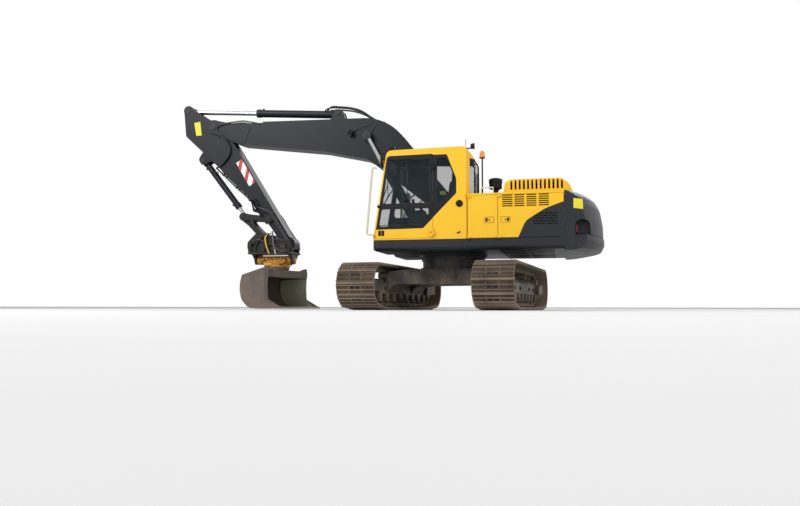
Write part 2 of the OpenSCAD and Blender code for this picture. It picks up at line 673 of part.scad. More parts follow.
// A bar drawn in the side view along a row of points, r to either side of it
function lane(p, d) =
    [for (i = [0:len(p) - 1]) let (u = unit(p[min(i + 1, len(p) - 1)] - p[max(i - 1,
        0)])) p[i] + d * [-u[1], u[0]]];
module strip(p, r) { polygon(concat(lane(p, -r), [for (i = [1:len(p)]) lane(p, r)[len(p) - i]])); }
rail_r = 15;
module handrails() {
    color("#d8cfae") {
        // Beside the cab's front
        side(half_w + 22, half_w + 22 + 2 * rail_r) strip([[cab_front - 60, cab_z - 340],
                                                           [cab_front - 20, cab_z - 330],
            [cab_front + 5, cab_z - 370],
            [cab_front + 100, deck_top + 140], [cab_front + 85, deck_top + 105],
                [cab_front - 30, deck_top + 85]], rail_r);
        for (p = [[cab_front - 62, cab_z - 340], [cab_front - 30, deck_top + 85]]) side(half_w + seat,
            half_w + 30) translate(p) circle(r = rail_r - 2);
        // On the top cover, beside the intake
        side(half_w - 45, half_w - 21) strip([[-700, cover_z + seat], [-700, cover_z + 100],
                                              [-912, cover_z + 100], [-912, cover_z + seat]], 12);
        // Round the tanks and up the steps
        for (y = [-half_w + 40, -cab_in - 90]) side(y - rail_r, y + rail_r) {
            strip([[300, deck_top + 560 + seat], [300, deck_top + 1230], [700, deck_top + 1230],
                   [1120, deck_top + 900], [1120, deck_top + 330 + seat]], rail_r);
        }
        block([285, -half_w + 40, deck_top + 1215], [315, -cab_in - 90, deck_top + 1245]);
    }
}
beacon_x = -620;
// Fall of the roof at the lamps' feet
roof_fall = 1.2;
module lamps() {
    color("#e07010") {
        // Mast with the flashing lamp
        translate([beacon_x, 400, cover_z + seat]) cylinder(h = 820, r = 14);
        translate([beacon_x, 400, cover_z + seat]) cylinder(h = 12, r = 40);
        translate([beacon_x, 400, cover_z + 815]) cylinder(h = 30, r = 56);
        translate([beacon_x, 400, cover_z + 840]) cylinder(h = 85, r1 = 54, r2 = 48);
        translate([beacon_x, 400, cover_z + 925]) cylinder(h = 32, r1 = 48, r2 = 25);
        // Rear work lamp on its arm
        block([-332, 888, cab_z - roof_fall], [-308, 912, cab_z + 60]);
        block([-500, 888, cab_z + 40], [-308, 912, cab_z + 60]);
        block([-506, 888, cab_z + 40], [-494, 912, cab_z + 80]);
        translate([-535, 900, cab_z + 88]) rotate([0, 90, 0]) cylinder(h = 70, r1 = 60, r2 = 42);
        // Aerial
        translate([-310, 440, cab_z - roof_fall]) cylinder(h = 30, r = 22);
        translate([-310, 440, cab_z + 29]) cylinder(h = 295, r = 5);
        // Front lamps on the cab's roof
        for (y = [560, 1180]) {
            block([cab_top - 90, y - 12, cab_z - 19], [cab_top - 60, y + 12, cab_z + 20]);
            translate([cab_top - 110, y, cab_z + 52]) rotate([0, 90, 0]) cylinder(h = 75, r1 = 38,
                r2 = 52);
        }
    }
}
intake_x = -892;
module intake() {
    color(dark_trim) translate([intake_x, 640, cover_z]) {
        translate([0, 0, seat]) cylinder(h = 170, r = 55);
        translate([0, 0, 160]) cylinder(h = 25, r1 = 70, r2 = 122);
        translate([0, 0, 184]) cylinder(h = 100, r = 118);
        translate([0, 0, 283]) cylinder(h = 70, r = 125);
        translate([0, 0, 352]) cylinder(h = 20, r1 = 125, r2 = 90);
        translate([0, 0, 371]) cylinder(h = 14, r = 30);
    }
}
module exhaust() {
    color(dark_trim) translate([-1180, -hood_out - 90, cover_z]) difference() {
        union() {
            translate([0, 0, seat]) cylinder(h = 30, r = 75);
            translate([0, 0, 29]) cylinder(h = 271, r = 55);
            translate([0, 0, 299]) cylinder(h = 120, r = 48);
        }
        translate([0, 0, 120]) cylinder(h = 400, r = 43);
    }
}
module mirrors() {
    color(dark_trim) {
        // On the right rail
        translate([1120 + rail_r + seat, -half_w + 28, deck_top + 332]) cube([30, 24, 668]);
        side(-half_w - 60, -half_w + 150) polygon(rounded([[1150, deck_top + 960, 10],
                                                           [1185, deck_top + 960, 10],
            [1205, deck_top + 1260, 12], [1160, deck_top + 1260, 12]]));
        // On the cab's front post
        block([cab_top - 2.5, half_w - 60, cab_z - 70], [cab_top + 90, half_w - 40, cab_z - 50]);
        side(half_w - 90, half_w + 60) polygon(rounded([[cab_top + 75, cab_z - 320, 10],
                                                        [cab_top + 105, cab_z - 320, 10],
            [cab_top + 105, cab_z - 40, 12], [cab_top + 75, cab_z - 40, 12]]));
    }
}

function hood_rows(low) = [[-bay_rear - 170, low, 0], [-split_x - 45, low, 0],
                           [-split_x - 85, hood_z - 60, 60],
                           [-split_x - 220, hood_z, 120], [-bay_rear + 50, hood_z, 120],
                               [-bay_rear - 100, hood_z - 125, 120]];
slot_count = 13;
slot_pitch = 74.8;
slot_w = 36;
module hood_body(low, d) {
    intersection() {
        side(-hood_out + d, hood_in - d) polygon(rounded(inset(hood_rows(low), d)));
        rotate([90, 0, 90]) translate([0, 0, -bay_rear - 300]) linear_extrude(bay_rear)
            polygon(rounded([[-hood_out + d, 0, 0], [hood_in - d, 0, 0],
                             [hood_in - d, hood_z - d, 90 - d], [-hood_out + d, hood_z - d, 90 - d]]));
    }
}
module hood() {
    color(machine_yellow) {
        difference() {
            hood_body(cover_z + seat, 0);
            hood_body(cover_z - 100, panel_t);
            // Slots over the shoulder
            for (i = [0:slot_count - 1]) block([-split_x - 183 - i * slot_pitch - slot_w, hood_in - 75,
                                                cover_z + 115],
                [-split_x - 183 - i * slot_pitch, hood_in + 1, hood_z + 10]);
            // Slots in the rear
            for (i = [0:8]) block([-bay_rear - 200, -560 + i * 150, cover_z + 40],
                                  [-bay_rear - 60, -470 + i * 150, cover_z + 66]);
        }
        for (s = [-1, 1]) difference() {
            side(s * 410 - 25, s * 410 + 25) union() {
                translate(hood_pin) circle(r = 16);
                translate([hood_pin[0], hood_pin[1] - 12]) square([45, 28]);
            }
            shaft(hood_pin[0], hood_pin[1], 8 + fit, s * 410 - 40, s * 410 + 40);
        }
    }
}
// Columns of a louvre group: front end and width
louvres = [[-split_x - 72, 181], [-split_x - 284, 171], [-split_x - 492, 172], [-split_x - 701, 176]];
louvre_pitch = 38;
module louvre_cuts(face) {
    low = face > 0 ? face - panel_t - 1 : face - 1;
    for (g = louvres) for (i = [0:5])
        block([g[0] - g[1], low, cover_z - 250 + i * louvre_pitch],
              [g[0], low + panel_t + 2, cover_z - 228 + i * louvre_pitch]);
}
// Dark panel low on the engine door
swoosh = [[-bay_rear + clear, door_low, 0], [-split_x - 345, door_low, 0],
          [-split_x - 475, door_low + 287, 250], [-split_x - 811, door_low + 495, 600],
          [-bay_rear + clear, door_low + 607, 0]];
module hung_door(x0, x1, face) {
    block([x0, min(face, face - sign(face) * panel_t), door_low],
          [x1, max(face, face - sign(face) * panel_t), door_high]);
    hinge_knuckle(x1 - 8, face, deck_top, 1);
    hinge_knuckle(x1 - 8, face, cover_z - 30, -1);
}
module cooler_door() { color(machine_yellow) hung_door(-split_x + 13, cooler_hinge + 8, half_w); }
module engine_door() {
    color(machine_yellow) difference() {
        hung_door(-bay_rear + clear, engine_hinge + 8, half_w);
        louvre_cuts(half_w);
        side(half_w - panel_t - 1, half_w + 1) polygon(rounded(swoosh));
    }
}
module grille() {
    color(dark_trim) side(half_w - panel_t, half_w) difference() {
        polygon(rounded(swoosh));
        for (i = [0:8]) for (k = [0:4]) translate([-split_x - 1010 + i * 47 + (k % 2) * 23,
                                                   door_low + 232 + k * 45]) circle(r = 15, $fn = 12);
    }
}
module pump_door() {
    color(machine_yellow) difference() {
        hung_door(-bay_rear + clear, engine_hinge + 8, -half_w);
        louvre_cuts(-half_w);
    }
}
module cab_door() {
    color(dark_trim) {
        side(half_w - 38, half_w) difference() {
            polygon(rounded(door_side));
            polygon(rounded(door_low_side));
            polygon(rounded(upper_pane));
            polygon(rounded(lower_pane));
        }
        cab_knuckles(cab_hinge_z[1]);
    }
}
module door_panel() {
    color(machine_yellow) {
        side(half_w - 38, half_w) intersection() {
            polygon(rounded(door_side));
            polygon(rounded(door_low_side));
        }
        cab_knuckles(cab_hinge_z[0]);
    }
}
module door_glass() {
    color("#20262c", 0.5) for (pane = [upper_pane, lower_pane]) side(half_w - 22,
        half_w - 16) polygon(rounded(inset(pane, seat)));
}

// Boom, in its own frame: the origin is the foot pin and X runs to the nose pin
boom_half = boom_w / 2;
knee_x = 0.39088 * boom_len;
knee_z = 1384;
boom_side = [[-40, -140, 0], [60, -140, 200], [knee_x + 22, knee_z - 889, 500],
             [knee_x + 972, knee_z - 1054, 900],
             [boom_len - 700, -150, 400], [boom_len, -140, 0], [boom_len, 140, 0],
                 [boom_len - 280, 158, 300],
             [knee_x, knee_z, 1000], [-60, 140, 0]];
jack_pin = [knee_x + 201, knee_z - 461];
arm_jack = [knee_x + 1025, knee_z - 224];
nose_gap = 325;
cheek_y = 205;
module boom() {
    color(steel_grey) on_boom() difference() {
        union() {
            side(-boom_half, boom_half) polygon(rounded(boom_side, 8));
            shaft(0, 0, 150, -foot_half, foot_half);
            shaft(0, 0, 55, -foot_half - 75, foot_half + 75);
            sides(boom_half - 5, cheek_y) polygon(rounded([[boom_len - 800, -100, 60],
                                                           [boom_len - 20, -140, 0],
                [boom_len - 20, 140, 0], [boom_len - 800, 270, 60]]));
            shaft(boom_len, 0, 140, -cheek_y, cheek_y);
            shafts(jack_pin[0], jack_pin[1], 110, boom_half - 5, jack_y - jack_eye - clear);
            for (s = [-1, 1]) translate([0, s * 86, 0]) side(-24, 24)
                polygon(rounded([[arm_jack[0] - 270, arm_jack[1] - 140, 0],
                                 [arm_jack[0] + 105, arm_jack[1] - 280, 0],
                    [arm_jack[0] + 88, arm_jack[1] + 88, 88], [arm_jack[0] - 88, arm_jack[1] + 88, 88]]));
        }
        // Fork for the arm's head
        side(-nose_gap / 2, nose_gap / 2) polygon([[boom_len - 780, -300], [boom_len + 300, -300],
                                                   [boom_len + 300, 400], [boom_len - 430, 400]]);
        shaft(boom_len, 0, 50 + fit, -400, 400);
        shaft(arm_jack[0], arm_jack[1], 45 + fit, -200, 200);
    }
}

// Steel oil lines over the boom's back, and the work lamp on its left side
line_r = 14;
boom_back = rounded(inset(boom_side, -line_r - seat), 8);
boom_ahead = [boom_side[7][0] - knee_x, boom_side[7][1] - knee_z];
boom_behind = [boom_side[9][0] - knee_x, boom_side[9][1] - knee_z];
function back_at(v, x) = knee_z + v[1] / v[0] * (x - knee_x) + (line_r + seat) * norm(v) / abs(v[0]);
line_rear = 900;
line_front = boom_len - 1000;
line_path = concat([[line_front, back_at(boom_ahead, line_front)]],
                   [for (p = boom_back)
                    if (p[0] > line_rear && p[0] < line_front && p[1] > back_at(boom_behind,
                       line_rear)) p],
                   [[line_rear, back_at(boom_behind, line_rear)]]);
module boom_lines() {
    color(steel_grey) on_boom() {
        for (y = [-160, -126, 126, 160]) side(y - line_r, y + line_r) strip(line_path, line_r);
        // Clamps across each pair
        for (s = [-1, 1], i = [0:len(line_path) - 2]) if (i % 4 == 0)
            translate([line_path[i + 1][0] - 12, s * 143 - 32, line_path[i + 1][1] - 8]) cube([24, 64,
                26]);
        side(boom_half + seat, boom_half + 95) polygon(rounded([[knee_x + 515, 800, 8],
            [knee_x + 575, 800, 8], [knee_x + 575, 830, 8], [knee_x + 515, 830, 8]]));
        translate([knee_x + 510, boom_half + 70, 870]) rotate([0, 90, 0]) cylinder(h = 75, r1 = 42,
            r2 = 62);
    }
}

// Hydraulic cylinders: local X runs from the base pin to the rod's eye
module barrel(length, r, wall, rod_r, eye_r, eye_half, pin_r, pin_half) {
    difference() {
        union() {
            translate([eye_r + 30, 0, 0]) rotate([0, 90, 0]) cylinder(h = length - eye_r - 30, r = r);
            translate([length - 90, 0, 0]) rotate([0, 90, 0]) cylinder(h = 90, r = r + 9);
            block([0, -eye_half, -eye_r * 0.8], [eye_r + 31, eye_half, eye_r * 0.8]);
            shaft(0, 0, eye_r, -eye_half, eye_half);
            shaft(0, 0, pin_r, -pin_half, pin_half);
            // Oil ports and the line along the tube
            for (x = [eye_r + 75, length - 130]) translate([x, 0, r - 8]) cylinder(h = 30, r = 22);
        }
        translate([eye_r + 45, 0, 0]) rotate([0, 90, 0]) cylinder(h = length - 105 - eye_r - 30,
            r = r - wall);
        translate([eye_r + 45, 0, 0]) rotate([0, 90, 0]) cylinder(h = length, r = rod_r + fit);
    }
}
module rod(reach, length, rod_r, piston_r, eye_r, eye_half) {
    translate([reach - length, 0, 0]) rotate([0, 90, 0]) cylinder(h = length, r = rod_r);
    translate([reach - length, 0, 0]) rotate([0, 90, 0]) cylinder(h = 50, r = piston_r);
    shaft(reach, 0, eye_r, -eye_half, eye_half);
}
// Places a cylinder from its base pin towards its rod pin, both in the side view
module aim(base, pin) { translate([base[0], 0, base[1]]) rotate([0, -atan2(pin[1] - base[1],
    pin[0] - base[0]), 0]) children(); }

jack_base = [jack_x, jack_z];
jack_top = foot + turned(jack_pin, boom_deg);
jack_reach = norm(jack_top - jack_base);
jack_len = jack_reach - 847;
jack_rod_len = jack_reach - 917;
module boom_barrels() {
    color(steel_grey) aim(jack_base, jack_top) for (s = [-1, 1]) translate([0, s * jack_y, 0])
        barrel(jack_len, jack_r, 12, 42, 80, jack_eye, 45, jack_eye + clear + lug_t);
}
module boom_rods() {
    color(chrome_grey) aim(jack_base, jack_top) for (s = [-1, 1]) translate([0, s * jack_y, 0])
        rod(jack_reach, jack_rod_len, 42, jack_r - 12 - fit, 85, jack_eye);
}
arm_base = foot + turned(arm_jack, boom_deg);
arm_head = nose + turned(head_pin, arm_deg);
arm_reach = norm(arm_head - arm_base);
module arm_barrel() { color(steel_grey) aim(arm_base, arm_head) barrel(arm_reach - 1530, 78, 12, 46, 90,
    56, 45, 120); }
module arm_rod() { color(chrome_grey) aim(arm_base, arm_head) rod(arm_reach, arm_reach - 1370, 46,
    78 - 12 - fit, 95, 56); }

// Arm, in its own frame: the origin is the head pin and X runs to the tip pin
arm_half = arm_w / 2;
rocker_pin = [arm_len - 662, 38];
rod_pin = [arm_len - 1029, 492];
tool_jack = [427, 611];
arm_side = [[-60, -150, 100], [600, -160, 0], [arm_len - 40, -100, 0], [arm_len - 20, 110, 60],
            [arm_len - 460, 120, 200],
            [arm_len - 820, 150, 200], [arm_len - 1281, 177, 100],
            [691, 414, 300], [330, 500, 100], [-230, 640, 90], [-690, 395, 20], [-740, 240, 20],
                [-640, 190, 20], [-330, 75, 60], [-170, -20, 60]];
module arm() {
    color(steel_grey) on_arm() difference() {
        union() {
            side(-arm_half, arm_half) polygon(rounded(arm_side));
            shaft(0, 0, 150, -160, 160);
            shaft(0, 0, 50, -cheek_y - 12, cheek_y + 12);
            shaft(arm_len, 0, 145, -arm_half, arm_half);
            shaft(arm_len, 0, 45, -ear_gap / 2 - 50, ear_gap / 2 + 50);
            shaft(head_pin[0], head_pin[1], head_r, -arm_half, arm_half);
            shaft(rocker_pin[0], rocker_pin[1], 80, -158, 158);
            shaft(rocker_pin[0], rocker_pin[1], 40, -205, 205);
            for (s = [-1, 1]) translate([0, s * 84, 0]) side(-24, 24)
                polygon(rounded([[tool_jack[0] - 177, tool_jack[1] - 131, 0],
                                 [tool_jack[0] + 113, tool_jack[1] - 181, 0],
                    [tool_jack[0] + 85, tool_jack[1] + 80, 78],
                    [tool_jack[0] - 85, tool_jack[1] + 80, 78]]));
        }
        // Clevis for the arm cylinder's rod
        side(-61, 61) polygon([[-1000, -200], [-300, -200], [-300, 330], [-420, 480], [-1000, 700]]);
        shaft(tool_jack[0], tool_jack[1], 40 + fit, -200, 200);
    }
}
tool_base = nose + turned(tool_jack, arm_deg);
tool_rod = nose + turned(rod_pin, arm_deg);
tool_reach = norm(tool_rod - tool_base);
module bucket_barrel() { color(steel_grey) aim(tool_base, tool_rod) barrel(tool_reach - 278, 64, 11, 40,
    80, 54, 40, 115); }
module bucket_rod() { color(chrome_grey) aim(tool_base, tool_rod) rod(tool_reach, tool_reach - 262, 40,
    64 - 11 - fit, 80, 52); }

// Links of the bucket linkage: a plate with round ends between two pins
module strap(a, b, ra, rb, waist) {
    d = norm(b - a);
    translate(a) rotate(atan2(b[1] - a[1], b[0] - a[0])) {
        circle(r = ra);
        translate([d, 0]) circle(r = rb);
        polygon(rounded([[0, -ra, 0], [d * 0.35, -waist, 150], [d * 0.65, -waist, 150], [d, -rb, 0],
                         [d, rb, 0], [d * 0.65, waist, 150], [d * 0.35, waist, 150], [0, ra, 0]]));
    }
}
rocker_y = 165;
rocker_t = 32;
module rockers() {
    color(worn_steel) on_arm() difference() {
        union() {
            sides(rocker_y, rocker_y + rocker_t) strap(rocker_pin, rod_pin, 78, 82, 55);
            shafts(rod_pin[0], rod_pin[1], 40, rocker_y - 5, rocker_y + rocker_t + 10);
        }
        shaft(rocker_pin[0], rocker_pin[1], 40 + fit, -300, 300);
    }
}
// Link pin on the coupler, seen from the arm's tip pin
link_pin = [539, 119];
rod_at = tool_rod - tip;
module link() {
    color(steel_grey) on_tip() {
        sides(60, 152) strap(link_pin, rod_at, 85, 82, 50);
        side(-152, 152) difference() {
            strap(link_pin, rod_at, 85, 82, 50);
            translate(rod_at) circle(r = 300);
        }
        shaft(link_pin[0], link_pin[1], 40, -ear_gap / 2 - 50, ear_gap / 2 + 50);
    }
}

// Coupler over the tilting rotator, seen from the arm's tip pin
ear_t = 40;
ear_in = ear_gap / 2;
// Base plate's underside and thickness
plate_low = -203;
base_t = 35;
coupler_side = [[-118, plate_low, 20], [838, plate_low, 30], [872, -60, 60], [868, 50, 60],
                [690, 226, 70], [440, 222, 60],
                [250, 80, 120], [70, 118, 70], [-70, 95, 80], [-118, -20, 60]];
lift_eye = [772, -3];
lift_eye_r = 36;
hanger_t = 60;
hanger_x = [-90, 700];
hanger_r = 92;
trunnion_r = 45;
module coupler() {
    color(steel_grey) on_tip() {
        difference() {
            union() {
                sides(ear_in, ear_in + ear_t) polygon(rounded(coupler_side));
                block([-118, -250, plate_low], [838, 250, plate_low + base_t]);
                shafts(0, 0, 82, ear_in, ear_in + ear_t + 14);
                shafts(link_pin[0], link_pin[1], 78, ear_in, ear_in + ear_t + 14);
                shaft(lift_eye[0], lift_eye[1], 70, -ear_in - 5, ear_in + 5);
                for (x = hanger_x) {
                    translate([x, 0, -tilt_drop]) rotate([0, 90, 0]) cylinder(h = hanger_t, r = hanger_r);
                    block([x, -hanger_r, -tilt_drop], [x + hanger_t, hanger_r, plate_low + 5]);
                    for (s = [-1, 1]) translate([x, 0, 0]) rotate([90, 0, 90]) linear_extrude(hanger_t)
                        polygon([[s * (hanger_r - 5), plate_low + 5], [s * (hanger_r - 5), -tilt_drop],
                                 [s * 230, plate_low + 5]]);
                }
            }
            shaft(0, 0, 45 + fit, -400, 400);
            shaft(link_pin[0], link_pin[1], 40 + fit, -400, 400);
            shaft(lift_eye[0], lift_eye[1], lift_eye_r, -400, 400);
            translate([-200, 0, -tilt_drop]) rotate([0, 90, 0]) cylinder(h = 1200, r = trunnion_r + fit);
        }
    }
}
// Tilting rotator: local heights are under the tilt axis
drum_r = 86;
house_r = 245;
house_top = 95;
house_low = 150;
rotor_r = 232;
rotor_low = 203;
drum_x = [hanger_x[0] + hanger_t + 6, hanger_x[1] - 6];
module tilt_housing() {
    color(machine_yellow) on_tip() translate([0, 0, -tilt_drop]) {
        translate([drum_x[0], 0, 0]) rotate([0, 90, 0]) cylinder(h = drum_x[1] - drum_x[0], r = drum_r);
        for (x = [drum_x[0], drum_x[1] - 70]) translate([x, 0, 0]) rotate([0, 90, 0]) cylinder(h = 70,
            r = drum_r + 9);
        translate([hanger_x[0] - 8, 0, 0]) rotate([0, 90,
                                                   0])
            cylinder(h = hanger_x[1] + hanger_t - hanger_x[0] + 16, r = trunnion_r);
        block([rotor_x - 215, -112, -house_top - 5], [rotor_x + 300, 112, 0]);
        translate([rotor_x, 0, -house_low]) cylinder(h = house_low - house_top, r = house_r);
        translate([rotor_x, 0, -house_top - 1]) cylinder(h = 40, r = house_r - 35);
        // Rotation motor beside the drum
        translate([rotor_x + 40, 205, -house_low + 45]) rotate([0, 90, 0]) cylinder(h = 170, r = 42);
        block([rotor_x + 92, 60, -house_low + 10], [rotor_x + 208, 190, -house_top + 30]);
    }
}
// Quick hitch under the rotator and its two pins
hitch_y = 146;
pin_x = [-196, 92];
pin_drop = 258;
pin_r = 35;
hitch_side = [[pin_x[0] - 62, -pin_drop - 52, 40], [pin_x[0] + 40, -pin_drop - 58, 20],
              [-70, -pin_drop - 20, 30],
              [pin_x[1] - 45, -pin_drop - 58, 20], [pin_x[1] + 62, -pin_drop - 52, 40],
                  [150, -rotor_low + 1, 20],
              [-235, -rotor_low + 1, 20]];
module on_rotor() { on_tip() translate([rotor_x, 0, -tilt_drop]) rotate([0, 0,
    180 - bucket_turn]) children(); }
module rotor() {
    color(steel_grey) on_rotor() {
        translate([0, 0, -rotor_low]) cylinder(h = rotor_low - house_low - 0.5, r = rotor_r);
        difference() {
            side(-hitch_y, hitch_y) polygon(rounded(hitch_side));
            side(-hitch_y + 45, hitch_y - 45) polygon([[-400, -400], [400, -400], [400, -rotor_low - 18],
                                                       [-400, -rotor_low - 18]]);
            for (x = pin_x) shaft(x, -pin_drop, pin_r + seat, -300, 300);
        }
    }
}
// Bucket: side view from the rotator's axis, X towards the mouth, Z over the ground
bucket_low = 20;
lip_x = 590;
plate_y = bucket_w / 2;
cheek_t = 25;
bucket_shell = [[lip_x, bucket_low, 0], [lip_x, bucket_low + 14, 0], [400, bucket_low + shell_t, 0],
                [-50, bucket_low + shell_t, 180],
                [-237, 75, 150], [-382, 207, 200], [-430, 400, 250], [-420, 550, 200], [-386, 640, 40],
                    [185, 668, 0],
                [187, 690, 0], [-405, 660, 60], [-441, 558, 200], [-451, 400, 250], [-400, 200, 200],
                    [-250, 56, 150],
                [-50, bucket_low, 180]];
cheek = [[lip_x, bucket_low, 0], [lip_x, bucket_low + 20, 0], [252, 210, 40], [238, 460, 300],
         [252, 856, 12], [170, 842, 30],
         [-330, 712, 30], [-400, 702, 60], [-451, 400, 250], [-400, 200, 200], [-250, 56, 150],
             [-50, bucket_low, 180]];
ground_drop = tip_z - tilt_drop;
ear_y = 152;
ear_tb = 42;
module bucket() {
    color(worn_steel) on_rotor() translate([0, 0, -ground_drop]) {
        side(-plate_y + 5, plate_y - 5) polygon(rounded(bucket_shell));
        sides(plate_y - cheek_t, plate_y) polygon(rounded(cheek));
        // Torsion tube along the mouth's upper edge
        side(-plate_y + 5, plate_y - 5) difference() {
            polygon(rounded([[172, 636, 10], [262, 652, 10], [266, 800, 10], [172, 790, 10]]));
            polygon(rounded([[186, 652, 4], [248, 666, 4], [252, 786, 4], [186, 776, 4]]));
        }
        // Cutting edge and the wear plates at the heel and on the cheeks' front edges
        side(-plate_y, plate_y) polygon([[lip_x, bucket_low], [lip_x, bucket_low + 10],
                                         [lip_x - 60, bucket_low + 40], [330, bucket_low + 40],
            [330, bucket_low]]);
        sides(plate_y - 2, plate_y + 12) polygon(rounded([[lip_x - 30, bucket_low, 0], [290, 170, 20],
                                                          [205, 200, 20], [190, 470, 100], [205, 820, 0],
                                                          [130, 810, 10], [118, 470, 100],
                                                              [150, bucket_low, 0]]));
        sides(plate_y - 2, plate_y + 12) polygon(rounded([[175, bucket_low, 0], [165, 110, 10],
                                                          [-220, 120, 60], [-330, 165, 10],
            [-250, 60, 120], [-50, bucket_low, 150]]));
        sides(ear_y, ear_y + ear_tb) polygon(rounded([[-330, 650, 0], [180, 680, 0], [175, 790, 20],
                                                      [pin_x[1] + 60, ground_drop - pin_drop + 45, 40],
                                                      [pin_x[1] - 50, ground_drop - pin_drop + 52, 30],
                                                          [-50, ground_drop - pin_drop + 10, 60],
                                                      [pin_x[0] + 50, ground_drop - pin_drop + 52, 30],
                                                          [pin_x[0] - 60, ground_drop - pin_drop + 40,
                                                           40]]));
        for (x = pin_x) shaft(x, ground_drop - pin_drop, pin_r, -ear_y - ear_tb - 12,
                              ear_y + ear_tb + 12);
    }
}

machine() track_frame();
machine() track_left();
machine() track_right();
machine() sprockets();
machine() idlers();
machine() rollers();
machine() deck();
machine() counterweight();
machine() body_frame();
machine() engine();
machine() cooler();
machine() tanks();
machine() cab();
machine() cab_trim();
machine() cab_glass();
machine() seat();
machine() controls();
machine() handrails();
machine() lamps();
machine() intake();
machine() exhaust();
machine() mirrors();
machine() hood();
machine() cooler_door();
machine() engine_door();
machine() grille();
machine() pump_door();
machine() cab_door();
machine() door_panel();
machine() door_glass();
machine() boom();
machine() boom_lines();
machine() boom_barrels();
machine() boom_rods();
machine() arm_barrel();
machine() arm_rod();
machine() arm();
machine() bucket_barrel();
machine() bucket_rod();
machine() rockers();
machine() link();
machine() coupler();
machine() tilt_housing();
machine() rotor();
machine() bucket();
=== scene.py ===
"""Looks of a crawler excavator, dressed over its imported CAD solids.

The machine's frame is in metres: X towards the boom, Y towards the cab, Z up. Pieces are drawn
in millimetres in the frame of the part that carries them, and a placer such as `house` or `boom`
turns those points into the machine's frame.
"""
import logging
import math
from collections.abc import Callable, Sequence
from dataclasses import dataclass, field
from enum import Enum
from itertools import product
from typing import ClassVar

import bpy
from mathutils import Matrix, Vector


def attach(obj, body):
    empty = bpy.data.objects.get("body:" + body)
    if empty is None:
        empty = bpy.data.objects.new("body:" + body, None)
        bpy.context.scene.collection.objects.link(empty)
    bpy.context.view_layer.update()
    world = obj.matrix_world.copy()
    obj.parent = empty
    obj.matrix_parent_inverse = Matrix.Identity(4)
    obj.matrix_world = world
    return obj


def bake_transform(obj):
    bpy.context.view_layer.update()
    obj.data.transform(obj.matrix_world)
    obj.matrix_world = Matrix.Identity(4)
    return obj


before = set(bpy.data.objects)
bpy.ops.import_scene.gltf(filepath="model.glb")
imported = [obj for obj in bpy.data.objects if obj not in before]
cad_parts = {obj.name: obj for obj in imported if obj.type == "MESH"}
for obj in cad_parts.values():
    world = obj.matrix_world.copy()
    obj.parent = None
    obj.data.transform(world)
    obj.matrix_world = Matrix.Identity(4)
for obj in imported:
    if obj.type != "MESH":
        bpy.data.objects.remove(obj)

log = logging.getLogger("excavator")
Point = tuple[float, float, float]
Outline = tuple[tuple[float, float], ...]
Pin = tuple[float, float, float, float]  # place along a part and across it, half length, cap radius
Placer = Callable[[float, float, float], Vector]

MM = 1000  # millimetres in a metre

# Places in millimetres and angles in degrees, as the CAD nodes have them
SWING_X = 1467.795  # swing axis, from the middle of the machine's box
FOOT = (-216.0, 1690.0)  # boom foot pin, X and Z from the swing axis
BOOM_DEG = 22.18  # rise of the boom's pin line
BOOM_LEN = 5700.0  # foot pin to nose pin
ARM_DEG = -123.84  # direction of the arm's pin line
ARM_LEN = 3020.0  # nose pin to tip pin
TRACK_DEG = 84.6  # turn of the undercarriage
TILT_DROP = 318.0  # tip pin down to the tilt axis
ROTOR_X = 270.0  # tip pin to the rotator's axis
BUCKET_TURN = 15.0  # turn of the bucket on the rotator
HALF_WIDTH = 1350.0  # side panels and cab side, from the middle

SIDES = (-1, 1)
NAMED_SIDES = ((1, "left"), (-1, "right"))
CUBE_FACES = ((0, 1, 3, 2), (4, 6, 7, 5), (0, 4, 5, 1), (2, 3, 7, 6), (0, 2, 6, 4), (1, 5, 7, 3))
CAP_T = 8  # thickness of a pin's end cap and height of its bolt
WASHER_R = 1.5  # radius of a washer, as a share of its bolt's
WASHER_H = 0.3  # its thickness, as a share of the bolt head's


def turn(x: float, y: float, deg: float) -> tuple[float, float]:
    """Turn a point about the origin, by an angle in degrees, anticlockwise."""
    c, s = math.cos(math.radians(deg)), math.sin(math.radians(deg))
    return x * c - y * s, x * s + y * c


NOSE = tuple(a + b for a, b in zip(FOOT, turn(BOOM_LEN, 0, BOOM_DEG)))
TIP = tuple(a + b for a, b in zip(NOSE, turn(ARM_LEN, 0, ARM_DEG)))


def house(x: float, y: float, z: float) -> Vector:
    """Point of the upper structure, from the swing axis on the ground."""
    return Vector(((x - SWING_X) / MM, y / MM, z / MM))


def boom(u: float, y: float, v: float) -> Vector:
    """Point of the boom: u along its pin line from the foot, v above it."""
    dx, dz = turn(u, v, BOOM_DEG)
    return house(FOOT[0] + dx, y, FOOT[1] + dz)


def arm(p: float, y: float, q: float) -> Vector:
    """Point of the arm: p along its pin line from the head, q towards its front."""
    dx, dz = turn(p, q, ARM_DEG)
    return house(NOSE[0] + dx, y, NOSE[1] + dz)


def tip(x: float, y: float, z: float) -> Vector:
    """Point of the coupler: from the arm's tip pin."""
    return house(TIP[0] + x, y, TIP[1] + z)


def axis(x: float, y: float, z: float) -> Vector:
    """Point of the tilting housing: from the tip pin along the tilt axis."""
    return tip(x, y, z - TILT_DROP)


def tool(x: float, y: float, z: float) -> Vector:
    """Point of the turned tool: from the rotator's axis on the ground."""
    dx, dy = turn(x, y, 180 - BUCKET_TURN)
    return house(TIP[0] + ROTOR_X + dx, dy, z)


def tracks(x: float, y: float, z: float) -> Vector:
    """Point of the undercarriage: x along the tracks, y across them."""
    dx, dy = turn(x, y, TRACK_DEG)
    return house(dx, dy, z)


def machine(x: float, y: float, z: float) -> Vector:
    """Point of the machine's frame, from millimetres."""
    return Vector((x, y, z)) / MM


